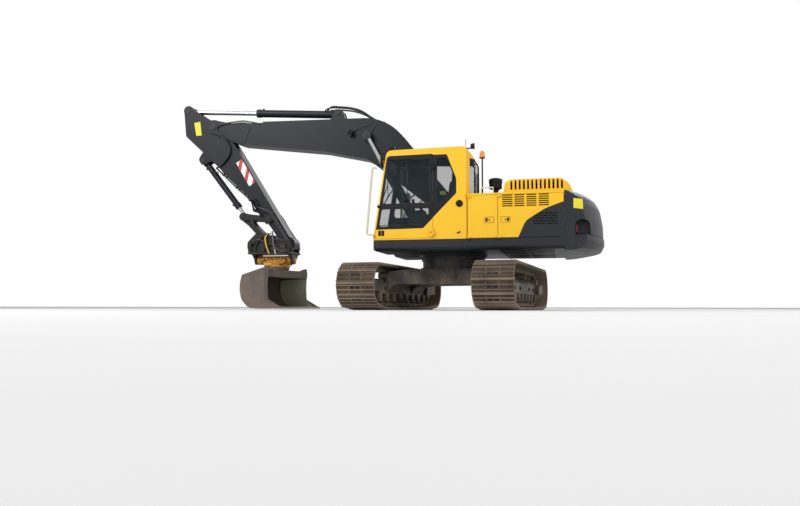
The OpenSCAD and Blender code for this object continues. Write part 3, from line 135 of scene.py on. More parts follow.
def placed(at: Placer, points: Sequence[Point]) -> list[Point]:
    """Turn points of a part's frame into millimetres of the machine's frame."""
    return [tuple(at(*p) * MM) for p in points]


class Body(str, Enum):
    """CAD bodies that pieces ride on."""

    TRACKS = "undercarriage"
    UPPER = "upper"
    BOOM = "boom_arm"
    STICK = "stick"
    STICK_JACK = "stick_jack"
    COUPLER = "quick_coupler"
    TILTER = "tilter"
    TOOL = "tool"
    CAB_DOOR = "cab_entry"
    COOLER_DOOR = "cooler_cover"
    ENGINE_DOOR = "engine_cover"


MATERIALS: dict[str, bpy.types.Material] = {}
COAT_ROUGHNESS = 0.12
RELIEF = 0.002  # height in metres of the fine surface relief
PATCH_SCALE, PATCH_DETAIL, PATCH_ROUGHNESS = 2.3, 9, 0.68  # noise of the dust's patches
LOW_DUST = 0.35  # how much more dust lies at ground level


Input = float | Sequence[float] | bpy.types.NodeSocket


def set_inputs(node: bpy.types.Node, *first: Input, **values: Input) -> None:
    """Set a node's inputs, or link them where the value is a socket.

    Args:
        node: The node.
        first: Values of its first inputs, in order.
        values: Values of the others, named with underscores for spaces.
    """
    named = [(node.inputs[name.replace("_", " ")], value) for name, value in values.items()]
    for socket, value in [*zip(node.inputs, first), *named]:
        if isinstance(value, bpy.types.NodeSocket):
            node.id_data.links.new(value, socket)
        else:
            socket.default_value = value


def add_node(tree: bpy.types.NodeTree, kind: str, *first: Input, **values: Input) -> bpy.types.Node:
    """Add a shader node.

    Args:
        tree: The node tree.
        kind: The node's type, such as Math.
        first: Values of its first inputs.
        values: Values of the others.

    Returns:
        The new node.
    """
    node = tree.nodes.new(f"ShaderNode{kind}")
    set_inputs(node, *first, **values)
    return node


@dataclass(frozen=True)
class Finish:
    """A surface finish, built as a procedural material.

    Attributes:
        name: Name of the material.
        colour: Clean colour.
        roughness: Roughness of the clean surface.
        metallic: 0 for paint and plastic, 1 for bare metal.
        dirt: Share that dust covers, from 0 to 1.
        dirt_colour: Colour of the dust.
        dirt_top: Height in metres under which dust gathers.
        grain: Strength of the fine surface relief.
        grain_scale: Scale of the relief, per metre.
        coat: Clear coat over the paint.
        gloss: Its own reflection, 0.5 for plain paint.
        alpha: 1 for solid, lower for glass.
    """

    name: str
    colour: tuple[float, float, float]
    roughness: float = 0.5
    metallic: float = 0.0
    dirt: float = 0.2
    dirt_colour: tuple[float, float, float] = (0.42, 0.34, 0.25)
    dirt_top: float = 1.2
    grain: float = 0.02
    grain_scale: float = 60.0
    coat: float = 0.0
    gloss: float = 0.5
    alpha: float = 1.0

    def material(self) -> bpy.types.Material:
        """Build the material once and give it back on each call.

        Returns:
            The Blender material.
        """
        if self.name in MATERIALS:
            return MATERIALS[self.name]
        made = bpy.data.materials.new(self.name)
        MATERIALS[self.name] = made
        made.use_nodes = True
        tree = made.node_tree
        shader = tree.nodes["Principled BSDF"]
        set_inputs(shader, Roughness=self.roughness, Metallic=self.metallic, Coat_Weight=self.coat,
                   Coat_Roughness=COAT_ROUGHNESS, Specular_IOR_Level=self.gloss, Alpha=self.alpha)
        place = add_node(tree, "TexCoord").outputs["Object"]
        colour = self._dusted(tree, place) if self.dirt > 0 else (*self.colour, 1)
        set_inputs(shader, Base_Color=colour)
        if self.grain > 0:
            fine = add_node(tree, "TexNoise", Vector=place, Scale=self.grain_scale, Detail=4)
            bump = add_node(tree, "Bump", Height=fine.outputs["Fac"], Strength=self.grain * 10,
                            Distance=RELIEF)
            set_inputs(shader, Normal=bump.outputs["Normal"])
        return made

    def _dusted(self, tree: bpy.types.NodeTree,
                place: bpy.types.NodeSocket) -> bpy.types.NodeSocket:
        """Mix dust over the colour, in patches and more of it low down.

        Args:
            tree: Node tree of the material.
            place: Socket of the object's coordinates.

        Returns:
            The socket that carries the mixed colour.
        """
        patches = add_node(tree, "TexNoise", Vector=place, Scale=PATCH_SCALE, Detail=PATCH_DETAIL,
                           Roughness=PATCH_ROUGHNESS)
        height = add_node(tree, "SeparateXYZ", Vector=place).outputs["Z"]
        low = add_node(tree, "MapRange", Value=height, From_Min=self.dirt_top, From_Max=0.0,
                       To_Max=LOW_DUST)
        total = add_node(tree, "Math", patches.outputs["Fac"], low.outputs["Result"])  # a sum
        share = add_node(tree, "MapRange", Value=total.outputs[0], From_Min=0.78 - 0.55 * self.dirt,
                         From_Max=1.05 - 0.4 * self.dirt, To_Max=min(1.0, 0.25 + self.dirt))
        mix = add_node(tree, "Mix")
        mix.data_type = "RGBA"
        set_inputs(mix, Factor=share.outputs["Result"], A=(*self.colour, 1),
                   B=(*self.dirt_colour, 1))
        return mix.outputs["Result"]


class Paint:
    """Finishes of this machine."""

    YELLOW = Finish("yellow_paint", (0.87, 0.5, 0.006), 0.36, dirt=0.08, coat=0.2)
    GREY = Finish("dark_grey_paint", (0.019, 0.02, 0.025), 0.45, dirt=0.14, gloss=0.25)
    BOOM_GREY = Finish("boom_paint", (0.009, 0.0098, 0.0145), 0.4, dirt=0.05, gloss=0.22)
    BLACK = Finish("black_plastic", (0.009, 0.009, 0.01), 0.6, dirt=0.1, gloss=0.2)
    TRACK = Finish("track_steel", (0.13, 0.1, 0.078), 0.72, dirt=0.5,
                   dirt_colour=(0.3, 0.235, 0.165), grain=0.08, gloss=0.3)
    FRAME = Finish("dusty_frame", (0.035, 0.035, 0.04), 0.6, dirt=0.42,
                   dirt_colour=(0.3, 0.23, 0.16), grain=0.05, gloss=0.25)
    CHROME = Finish("rod_chrome", (0.42, 0.43, 0.45), 0.22, 1.0, dirt=0.05, grain=0)
    STEEL = Finish("bucket_steel", (0.09, 0.074, 0.07), 0.5, 0.15, dirt=0.45,
                   dirt_colour=(0.21, 0.155, 0.12), grain=0.06, gloss=0.35)
    TILT = Finish("ochre_paint", (0.6, 0.27, 0.015), 0.45, dirt=0.42,
                  dirt_colour=(0.1, 0.055, 0.025))
    GLASS = Finish("window_glass", (0.02, 0.035, 0.045), 0.04, dirt=0, grain=0, gloss=0.35,
                   alpha=0.2)
    IRON = Finish("engine_iron", (0.03, 0.03, 0.033), 0.6, dirt=0.2, gloss=0.25)
    CLOTH = Finish("seat_cloth", (0.02, 0.02, 0.023), 0.9, dirt=0.06, grain=0.1, grain_scale=220,
                   gloss=0.2)
    RUBBER = Finish("hose_rubber", (0.012, 0.012, 0.013), 0.34, dirt=0.06)
    LAMP = Finish("amber_lens", (0.95, 0.25, 0.01), 0.2, dirt=0, grain=0)
    RED = Finish("red_lens", (0.55, 0.02, 0.015), 0.25, dirt=0, grain=0)
    WHITE = Finish("white_paint", (0.8, 0.8, 0.78), 0.45, dirt=0.08)
    COUPLER = Finish("coupler_paint", (0.014, 0.0135, 0.014), 0.5, dirt=0.5,
                     dirt_colour=(0.16, 0.11, 0.065), gloss=0.25)
    # Painted shade for the valleys between grousers and the gaps between shoes, with dust over it
    VALLEY_SHADE = Finish("painted_valley_shade", (0.05, 0.038, 0.028), 0.9, dirt=0.35,
                   dirt_colour=(0.15, 0.115, 0.08), gloss=0.1)
    # Worn green paint, made lighter to stand in for sunlight on the side plate's inner face: real
    # colour plus painted light
    GREEN_PAINT_AND_LIGHT = Finish("worn_green_paint_and_painted_light", (0.44, 0.53, 0.38), 0.6, dirt=0.4,
                   dirt_colour=(0.36, 0.31, 0.23), gloss=0.25)
    WEIGHT = Finish("counterweight_paint", (0.019, 0.02, 0.025), 0.45, dirt=0.26,
                    dirt_colour=(0.14, 0.09, 0.05), dirt_top=1.9, gloss=0.25)
    LINING = Finish("cab_lining_cloth", (0.012, 0.013, 0.016), 0.85, dirt=0.05, gloss=0.15)
    HOSE_GREY = Finish("grey_hose", (0.1, 0.1, 0.115), 0.45, dirt=0.1)
    PIN = Finish("dark_pin_steel", (0.02, 0.019, 0.02), 0.45, dirt=0.12, gloss=0.3)
    LINKAGE = Finish("linkage_paint", (0.014, 0.013, 0.013), 0.5, dirt=0.18, gloss=0.25)
    RED_PAINT = Finish("red_paint", (0.5, 0.02, 0.02), 0.45, dirt=0.08)
    DULL_YELLOW = Finish("sign_yellow", (0.75, 0.62, 0.03), 0.5, dirt=0.1)
    PALE = Finish("pale_paint", (0.6, 0.55, 0.38), 0.45, dirt=0.12)
    # Flat dark colour: painted shade in place of openings
    HOLE_SHADE = Finish("painted_hole_shade", (0.01, 0.009, 0.008), 0.9, dirt=0, grain=0)
    TRIM = Finish("cab_trim_paint", (0.008, 0.009, 0.011), 0.45, dirt=0.06, gloss=0.2)
    VEST = Finish("bright_cloth", (0.6, 0.75, 0.02), 0.7, dirt=0)


NODE_FINISH: dict[str, Finish] = {
    name: finish for finish, names in (
        (Paint.TRACK, "track_left track_right sprockets idlers rollers"),
        (Paint.FRAME, "track_frame"), (Paint.GREY, "deck grille"), (Paint.TRIM, "cab_trim cab_door"),
        (Paint.YELLOW, "door_panel body_frame tanks cab hood cooler_door engine_door pump_door"),
        (Paint.BOOM_GREY, "boom_lines boom boom_barrels arm_barrel arm bucket_barrel"),
        (Paint.WEIGHT, "counterweight"), (Paint.IRON, "engine cooler exhaust"),
        (Paint.GLASS, "cab_glass door_glass"), (Paint.CLOTH, "seat"),
        (Paint.BLACK, "controls lamps intake mirrors"), (Paint.PALE, "handrails"),
        (Paint.CHROME, "boom_rods arm_rod bucket_rod"), (Paint.LINKAGE, "rockers link"),
        (Paint.COUPLER, "coupler"), (Paint.TILT, "tilt_housing"), (Paint.STEEL, "rotor bucket"))
    for name in names.split()}


@dataclass(frozen=True)
class Studio:
    """Camera, floor, world and lamps.

    Attributes:
        eye: Camera position.
        angles: Camera rotation in degrees.
        lens: Focal length.
        reach: Distance in metres that the camera sees.
        floor_half: Half the floor's width.
        floor_finish: Finish of the floor.
        sky: Strength of the light from all round.
        aim: Point that the lamps face.
        lamps: Name, place, side and power in watts of each square lamp.
    """

    eye: Point = (-3.6541, 14.3485, 0.0528)
    angles: Point = (94.1727, -0.0812, -167.2063)
    lens: float = 33.375
    reach: float = 1000.0
    floor_half: float = 400.0
    floor_finish: Finish = Finish("floor", (0.82, 0.82, 0.82), 0.9, dirt=0, grain=0)
    sky: float = 0.46
    aim: Point = (0, 0, 1.6)
    lamps: tuple[tuple[str, Point, float, float], ...] = (
        ("key", (9, 14, 12), 8, 2200), ("fill", (-14, 10, 7), 10, 800),
        ("back", (-4, -14, 10), 10, 800))

    def camera(self) -> None:
        """Place the camera as in the photograph, lifted to floor level."""
        data = bpy.data.cameras.new("camera")
        data.lens, data.clip_end = self.lens, self.reach
        eye = bpy.data.objects.new("camera", data)
        eye.location = self.eye
        eye.rotation_euler = [math.radians(a) for a in self.angles]
        bpy.context.scene.collection.objects.link(eye)
        bpy.context.scene.camera = eye

    def _pale(self, tree: bpy.types.NodeTree, plain: bpy.types.NodeSocket) -> bpy.types.NodeSocket:
        """Show white to the camera and in reflections, and the plain shader to the rest.

        Args:
            tree: Node tree of the world.
            plain: Shader that lights the object.

        Returns:
            The mixed shader's socket.
        """
        path = add_node(tree, "LightPath")
        seen = path.outputs["Is Camera Ray"]
        for kind in ("Is Glossy Ray", "Is Transmission Ray"):
            either = add_node(tree, "Math", seen, path.outputs[kind])
            either.operation = "MAXIMUM"
            seen = either.outputs[0]
        white = add_node(tree, "Background", Color=(1, 1, 1, 1), Strength=1.0)
        return add_node(tree, "MixShader", seen, plain, white.outputs[0]).outputs[0]

    def world(self) -> None:
        """Light the object from all round and show a white background."""
        world = bpy.data.worlds.new("studio")
        bpy.context.scene.world = world
        world.use_nodes = True
        tree = world.node_tree
        sky = tree.nodes["Background"]
        set_inputs(sky, Color=(1, 1, 1, 1), Strength=self.sky)
        set_inputs(tree.nodes["World Output"], Surface=self._pale(tree, sky.outputs[0]))

    def floor(self) -> None:
        """Lay a plain pale floor."""
        half = self.floor_half
        data = bpy.data.meshes.new("floor")
        corners = [(-half, -half, 0), (half, -half, 0), (half, half, 0), (-half, half, 0)]
        data.from_pydata(corners, [], [(0, 1, 2, 3)])
        floor = bpy.data.objects.new("floor", data)
        bpy.context.scene.collection.objects.link(floor)
        data.materials.append(self.floor_finish.material())

    def lamp(self, name: str, place: Point, size: float, power: float) -> None:
        """Add a soft square lamp that faces the machine.

        Args:
            name: Name of the lamp.
            place: Where it hangs.
            size: Side of its square.
            power: Power in watts.
        """
        data = bpy.data.lights.new(name, "AREA")
        data.size, data.energy = size, power
        lamp = bpy.data.objects.new(name, data)
        lamp.location = place
        lamp.rotation_euler = (Vector(self.aim) - Vector(place)).to_track_quat("-Z", "Y").to_euler()
        bpy.context.scene.collection.objects.link(lamp)

    def build(self) -> None:
        """Build the whole studio."""
        bpy.context.scene.view_settings.view_transform = "Standard"
        self.camera()
        self.world()
        self.floor()
        for name, place, size, power in self.lamps:
            self.lamp(name, place, size, power)


@dataclass
class Piece:
    """One mesh, put together from simple shapes in millimetres and tied to a CAD body.

    Attributes:
        waiting: Pieces that wait for their place, in order.
        name: Name of the object.
        finish: Its finish.
        body: The body it rides on.
        at: Turns its millimetres into the machine's frame.
        bend: Far body, start and end of its bend, if it crosses a joint.
        verts: Its points.
        faces: Its faces.
        smooth: Whether each face is shaded smooth.
    """

    waiting: ClassVar[list["Piece"]] = []
    name: str
    finish: Finish
    body: Body
    at: Placer = house
    bend: tuple[Body, Vector, Vector] | None = None
    verts: list[Vector] = field(default_factory=list)
    faces: list[tuple[int, ...]] = field(default_factory=list)
    smooth: list[bool] = field(default_factory=list)

    def __post_init__(self) -> None:
        """Let the piece wait for its place."""
        self.waiting.append(self)

    def _ring(self, middle: Vector, across: Vector, up: Vector, r: float, n: int) -> int:
        """Add a ring of points.

        Args:
            middle: Its middle.
            across: First direction of its plane.
            up: Second direction of its plane.
            r: Its radius.
            n: Number of points.

        Returns:
            The index of its first point.
        """
        first = len(self.verts)
        for i in range(n):
            a = 2 * math.pi * i / n
            self.verts.append(middle + across * (r * math.cos(a)) + up * (r * math.sin(a)))
        return first

    def _face(self, corners: tuple[int, ...], smooth: bool = False) -> None:
        """Add one face."""
        self.faces.append(corners)
        self.smooth.append(smooth)

    def _cube(self, corners: list[Vector]) -> None:
        """Close eight corners with six faces.

        Args:
            corners: The corners, as three nested loops list them.
        """
        first = len(self.verts)
        self.verts.extend(corners)
        for face in CUBE_FACES:
            self._face(tuple(first + i for i in face))

    def box(self, low: Point, high: Point) -> None:
        """Add an upright box between two corners."""
        self._cube([Vector((x, y, z)) for x in (low[0], high[0]) for y in (low[1], high[1])
                    for z in (low[2], high[2])])

    def brick(self, middle: Vector, along: Vector, out: Vector, half: Point) -> None:
        """Add a turned box.

        Args:
            middle: Its middle.
            along: Direction of its length.
            out: Direction of its thickness.
            half: Half its length, width and thickness.
        """
        across = out.cross(along)
        self._cube([middle + along * a + across * b + out * c for a in (-half[0], half[0])
                    for b in (-half[1], half[1]) for c in (-half[2], half[2])])

    def hose(self, path: Sequence[Point], r: float, n: int = 10, steps: int = 5) -> None:
        """Add a round hose through a row of points, eased between them.

        Args:
            path: Points that it passes.
            r: Its radius.
            n: Sides of its section.
            steps: Rings between two points; 1 keeps the path straight.
        """
        p = [Vector(q) for q in path]
        line: list[Vector] = []
        for i in range(len(p) - 1):
            a, b, c, d = p[max(i - 1, 0)], p[i], p[i + 1], p[min(i + 2, len(p) - 1)]
            for k in range(steps):
                t = k / steps
                line.append(0.5 * (2 * b + (c - a) * t + (2 * a - 5 * b + 4 * c - d) * t * t
                                   + (3 * b - a - 3 * c + d) * t ** 3))
        line.append(p[-1])
        along = (line[1] - line[0]).normalized()
        up = along.orthogonal().normalized()
        rings = []
        for i, q in enumerate(line):
            along = (line[min(i + 1, len(line) - 1)] - line[max(i - 1, 0)]).normalized()
            up = (up - along * up.dot(along)).normalized()
            rings.append(self._ring(q, up, along.cross(up), r, n))
        for a, b in zip(rings, rings[1:]):
            for i in range(n):
                j = (i + 1) % n
                self._face((a + i, a + j, b + j, b + i), True)
        self._face(tuple(rings[0] + i for i in reversed(range(n))))
        self._face(tuple(rings[-1] + i for i in range(n)))

    def disc(self, middle: Point, way: Point, r: float, h: float, n: int = 20) -> None:
        """Add a short cylinder, from its base's middle along a direction."""
        top = Vector(way).normalized() * h
        self.hose([middle, tuple(Vector(middle) + top)], r, n, 1)

    def bolt(self, middle: Point, way: Point, r: float = 11.0, h: float = 8.0) -> None:
        """Add a hexagon bolt head on its washer.

        Args:
            middle: Middle of the washer's base.
            way: Direction of the bolt.
            r: Radius of the head.
            h: Height of the head.
        """
        step = Vector(way).normalized()
        self.disc(middle, way, r * WASHER_R, h * WASHER_H, 12)
        self.disc(tuple(Vector(middle) + step * h * WASHER_H), way, r, h, 6)

    def pin_caps(self, pin: Pin) -> None:
        """Add a cap and its bolt on both ends of a cross pin.

        Args:
            pin: The pin.
        """
        u, v, y, r = pin
        for s in SIDES:
            self.disc((u, s * y, v), (0, s, 0), r, CAP_T, 24)
            self.bolt((u, s * (y + CAP_T), v), (0, s, 0), 12, CAP_T)

    def slab(self, outline: Outline, y0: float, y1: float) -> None:
        """Add a plate drawn in the side view.

        Args:
            outline: Its corners in the side view.
            y0: Where it starts across the machine.
            y1: Where it ends.
        """
        n, first = len(outline), len(self.verts)
        for y in (y0, y1):
            self.verts.extend(Vector((x, y, z)) for x, z in outline)
        self._face(tuple(first + i for i in range(n)))
        self._face(tuple(first + n + i for i in reversed(range(n))))
        for i in range(n):
            j = (i + 1) % n
            self._face((first + j, first + i, first + n + i, first + n + j))

    def bridge(self, far: Body, start: Vector, end: Vector) -> None:
        """Record a far body and two points where the piece crosses to it; no bending is done."""
        self.bend = (far, start, end)

    def place(self) -> None:
        """Make the object with its finish and tie it to its body; a piece with a far body stays
        untied in place.
        """
        data = bpy.data.meshes.new(self.name)
        data.from_pydata([self.at(*v) for v in self.verts], [], self.faces)
        for face, smooth in zip(data.polygons, self.smooth):
            face.use_smooth = smooth
        data.materials.append(self.finish.material())
        made = bpy.data.objects.new(self.name, data)
        bpy.context.scene.collection.objects.link(made)
        if self.bend:
            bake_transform(made)
        else:
            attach(made, self.body.value)


@dataclass(frozen=True)
class TrackDress:
    """Bolts, dark marks of painted shade for the cleaning holes, links, and painted shade in the
    valleys and between the shoes of the two tracks.

    Attributes:
        count: Number of shoes.
        half: Half the distance between the axles.
        flat: Half the straight run on the ground.
        pin_r: Radius of the pin line round the axles.
        axle_z: Height of the axles.
        end_r: Height of the pin line's centres over the lower run.
        lane: Distance of a track from the middle.
        face: Height of a shoe's plate over the pin line.
        shade_strip_half: Half the length across a shoe of the dark strips of painted shade.
        bolt_at: Bolts from a shoe's middle, along and across the track.
        hole_at: Dark marks of painted shade in place of the cleaning holes, in the same order.
        hole: Half the size of a hole's mark.
        chain_y: The chain's links, from the track's middle.
        link_half: Half the distance between a link's pins.
        link_drop: How far the links lie inside the pin line.
    """

    count: int = 49
    half: float = 1830.0
    flat: float = 1450.0
    pin_r: float = 312.0
    axle_z: float = 440.0
    end_r: float = 400.0
    lane: float = 1195.0
    face: float = 61.0
    shade_strip_half: float = 344.0
    bolt_at: tuple[float, float] = (38.0, 112.0)
    hole_at: tuple[float, float] = (40.0, 54.0)
    hole: Point = (20.0, 30.0, 2.0)
    chain_y: float = 99.0
    link_half: float = 88.0
    link_drop: float = 4.0

    def places(self) -> list[tuple[Vector, Vector, Vector]]:
        """Find where the shoes sit on the pin line.

        Returns:
            Each shoe's place, heading and way out of the loop.
        """
        lift = math.atan2(self.axle_z - self.end_r, self.half - self.flat)
        slope = math.hypot(self.axle_z - self.end_r, self.half - self.flat)
        arc, end, curve = self.pin_r * (math.pi - lift), math.pi - lift, self.pin_r * lift
        low, high = (((-x, z), (x, z)) for x, z in (
            (self.flat, self.end_r), (self.half, self.axle_z)))
        # Centre of the run, heading at its start, length and turn
        runs = [(low[0], 0.0, 2 * self.flat, 0.0), (low[1], 0.0, curve, lift),
                (low[1], lift, slope, 0.0), (high[1], lift, arc, end),
                (high[1], math.pi, 2 * self.half, 0.0), (high[0], math.pi, arc, end),
                (high[0], 2 * math.pi - lift, slope, 0.0), (low[0], 2 * math.pi - lift, curve, lift)]
        pitch = sum(run[2] for run in runs) / self.count
        found = []
        for i in range(self.count):
            s = (i + 0.5) * pitch
            for (x, z), head, length, bend in runs:
                if s <= length:
                    break
                s -= length
            h = head + (bend * s / length if bend else 0)
            go = 0 if bend else s
            out = Vector((math.sin(h), 0, -math.cos(h)))
            place = Vector((x + go * math.cos(head), 0, z + go * math.sin(head))) + out * self.pin_r
            found.append((place, Vector((math.cos(h), 0, math.sin(h))), out))
        return found

    def build(self) -> None:
        """Dress both tracks. The left one's path runs the other way."""
        for side, name in NAMED_SIDES:
            bolts, hole_shade, links, valley_shade = (
                Piece(f"track_{name}_{kind}", finish, Body.TRACKS, tracks) for kind, finish in (
                    ("bolts", Paint.TRACK), ("hole_shade", Paint.HOLE_SHADE), ("links", Paint.TRACK),
                    ("valley_shade", Paint.VALLEY_SHADE)))
            for place, go, out in self.places():
                go, out, place = (Vector((-side * v.x, 0, v.z)) for v in (go, out, place))
                middle = Vector((0, side * self.lane, 0)) + place
                for s, t in product(SIDES, SIDES):
                    y = Vector((0, s * self.bolt_at[1], 0))
                    seat = middle + out * self.face + go * (t * self.bolt_at[0]) + y
                    bolts.bolt(tuple(seat), tuple(out), 12, 10)
                # Dark marks on the shoe are painted shade in place of the cleaning holes
                for s in SIDES:
                    y = Vector((0, s * self.hole_at[1], 0))
                    hole_shade.brick(middle + out * (self.face + 4.5) + go * self.hole_at[0] + y, go, out,
                                self.hole)
                # Dark strips of painted shade: two in the valleys between the grousers, one in the
                # gap to the next shoe
                for step in (-40, 40):
                    valley_shade.brick(middle + out * (self.face + 3) + go * step, go, out,
                                (27, self.shade_strip_half, 1.5))
                valley_shade.brick(middle + out * (self.face + 1) + go * 95, go, out,
                            (11, self.shade_strip_half, 6))
                for y in (-self.chain_y, self.chain_y):
                    ends = [middle + go * s + out * -self.link_drop + Vector((0, y, 0))
                            for s in (-self.link_half, self.link_half)]
                    links.disc(tuple(ends[0] - Vector((0, 5, 0))), (0, 1, 0), 38, 10, 12)
                    links.disc(tuple(ends[0] - Vector((0, 9, 0))), (0, 1, 0), 17, 18, 8)
                    links.hose([tuple(ends[0]), tuple(ends[1])], 27, 6, 1)


@dataclass(frozen=True)
class UpperDress:
    """Latches, lamps, plates and treads on the upper structure.

    Attributes:
        latch: Width, height and rim of a latch's frame.
        latch_z: Height of the frames' lower edge.
        lamp_y: Tail lamps, from the middle.
        ring: Number of the slewing ring's bolts, their circle's radius and their height.
        belly_z: Underside of the belly plates.
        tread_z: Height of the upper step and of the lower step.
        top_z: Height of the cover over the tanks.
    """

    latch: Point = (163.0, 103.0, 5.0)
    latch_z: float = 1535.0
    lamp_y: float = 1190.0
    ring: tuple[int, float, float] = (36, 628.0, 798.0)
    belly_z: float = 1059.0
    tread_z: tuple[float, float] = (1825.0, 1595.0)
    top_z: float = 2065.0

    def panels(self) -> None:
        """Latches, the round cap and the vents on the left side."""
        y, z = HALF_WIDTH, self.latch_z
        w, h, t = self.latch
        for name, body, x, grip in (("cooler_latch", Body.COOLER_DOOR, -924, 112),
                                    ("panel_latches", Body.ENGINE_DOOR, -1208, 20)):
            latch = Piece(name, Paint.BLACK, body)
            for x0, z0, x1, z1 in ((0, 0, w, t), (0, h - t, w, h), (0, 0, t, h), (w - t, 0, w, h)):
                latch.box((x + x0, y, z + z0), (x + x1, y + 2, z + z1))
            latch.box((x + grip, y, z + 25), (x + grip + 34, y + 10, z + 83))
            latch.disc((x + 80, y, z + 51), (0, 1, 0), 12, 5)
        fixed = Piece("panel_fittings", Paint.BLACK, Body.UPPER)
        fixed.disc((-314, y, 1893), (0, 1, 0), 62, 14, 28)
        fixed.disc((-314, y + 14, 1893), (0, 1, 0), 40, 6, 24)
        fixed.hose([(-270, y + 8, 1362), (-330, y + 8, 1390)], 11)
        vents = Piece("door_vents", Paint.BLACK, Body.CAB_DOOR)
        for x in (1062, 1122):
            vents.box((x, y, 1340), (x + 50, y + 3, 1438))
            for k in range(5):
                vents.box((x + 4, y + 3, 1348 + k * 18), (x + 46, y + 6, 1356 + k * 18))

    def counterweight(self) -> None:
        """Blank plate and tail lamps."""
        Piece("counterweight_plate", Paint.DULL_YELLOW, Body.UPPER).slab(
            ((-2289, 1759), (-2289, 1930), (-2446, 1905), (-2449, 1735)),
            HALF_WIDTH - 1, HALF_WIDTH + 2)
        for s, name in NAMED_SIDES:
            y = s * self.lamp_y
            lamp = Piece(f"tail_lamp_{name}", Paint.RED, Body.UPPER)
            lamp.box((-2352, y - 45, 1350), (-2336, y + 45, 1470))
            rim = Piece(f"tail_lamp_rim_{name}", Paint.BLACK, Body.UPPER)
            rim.box((-2336, y - 55, 1340), (-2322, y + 55, 1480))

    def deck(self) -> None:
        """Bolts round the slewing ring, belly plates and lower treads."""
        count, r, z = self.ring
        ring = Piece("ring_bolts", Paint.FRAME, Body.TRACKS, tracks)
        for k in range(count):
            a = 2 * math.pi * k / count
            ring.bolt((r * math.cos(a), r * math.sin(a), z), (0, 0, 1), 9, 10)
        belly = Piece("belly_plates", Paint.FRAME, Body.UPPER)
        for (x0, x1), s in product(((-1950, -1500), (-1450, -1000)), SIDES):
            y0, y1 = sorted((s * 260, s * 1150))
            belly.box((x0, y0, self.belly_z), (x1, y1, self.belly_z + 6))
            for x, y in product((x0 + 40, x1 - 40), (y0 + 40, y1 - 40)):
                belly.bolt((x, y, self.belly_z), (0, 0, -1), 9, 7)
        steps = Piece("side_steps", Paint.BLACK, Body.UPPER)
        z = self.tread_z[1]
        for x in (830, 1000):
            steps.box((x, 20 - HALF_WIDTH, z + 1), (x + 120, -500, z + 5))

    def tank_fittings(self) -> None:
        """Filler caps and tread strips on the right side."""
        top = self.top_z
        caps = Piece("filler_caps", Paint.BLACK, Body.UPPER)
        for x in (-640, -120):
            caps.disc((x, -900, top), (0, 0, 1), 66, 26, 24)
            caps.box((x - 60, -908, top + 26), (x + 60, -892, top + 36))
        tread = Piece("tread_strips", Paint.BLACK, Body.UPPER)
        for x0, x1, z in ((300, 730, self.tread_z[0]), (800, 1180, self.tread_z[1])):
            for y in range(-1290, -600, 130):
                tread.box((x0, y, z), (x1, y + 80, z + 3))
        for k in range(4):
            tread.box((-960 + k, -1180 + k * 90, top), (-700, -1130 + k * 90, top + 3))

    def build(self) -> None:
        """Dress the upper structure."""
        self.panels()
        self.counterweight()
        self.deck()
        self.tank_fittings()


@dataclass(frozen=True)
class CabDress:
    """Seals, wiper, handle and inner fittings of the cab.

    Attributes:
        inset: How far the panes' seals lie inside the cab's side.
        panes: Corners of the door's upper and lower pane in the side view.
    """

    inset: float = 8.0
    panes: tuple[Outline, ...] = (
        ((225, 1920), (1098, 1920), (985, 2740), (225, 2725)),
        ((338, 1530), (1165, 1530), (1115, 1830), (240, 1830), (240, 1625)))

    def door(self) -> None:
        """Seals, handle and inner grip of the door."""
        y = HALF_WIDTH
        seal = Piece("door_seals", Paint.RUBBER, Body.CAB_DOOR)
        for pane in self.panes:
            ring = [(x, y - self.inset, z) for x, z in pane]
            for a, b in zip(ring, ring[1:] + ring[:1]):
                seal.hose([a, b], 7, 6, 1)
        seal.hose([(640, y - 12, 1925), (640, y - 12, 2730)], 9, 6, 1)
        handle = Piece("door_handle", Paint.BLACK, Body.CAB_DOOR)
        handle.box((1140, y, 1850), (1190, y + 4, 1905))
        handle.hose([(1130, y + 14, 1868), (1150, y + 22, 1872), (1195, y + 14, 1876)], 7)
        Piece("door_grip", Paint.BLACK, Body.CAB_DOOR).hose(
            [(1100, y - 50, 1880), (980, y - 62, 2100), (820, y - 62, 2300),
             (760, y - 50, 2500)], 11)

    def build(self) -> None:
        """Dress the cab and its door."""
        self.door()
        wiper = Piece("screen_wiper", Paint.BLACK, Body.UPPER)
        wiper.hose([(1188, 1150, 1900), (1150, 1000, 2150), (1122, 860, 2330)], 9, 8, 2)
        wiper.hose([(1150, 700, 2150), (1118, 860, 2355), (1085, 1000, 2560)], 8, 6, 2)
        inside = Piece("cab_lining", Paint.BLACK, Body.UPPER)
        inside.box((-480, 430, 1400), (-300, 1000, 1990))
        inside.hose([(-430, 1270, 2000), (-430, 1270, 2760)], 22, 8, 1)
        inside.hose([(-500, 1200, 2790), (900, 1290, 2800)], 18, 8, 1)
        Piece("corner_marker", Paint.LAMP, Body.UPPER).box((1075, 1285, 2690), (1118, 1330, 2735))
        Piece("hi_vis_patch", Paint.VEST, Body.UPPER).box((-40, 1120, 2095), (70, 1124, 2160))


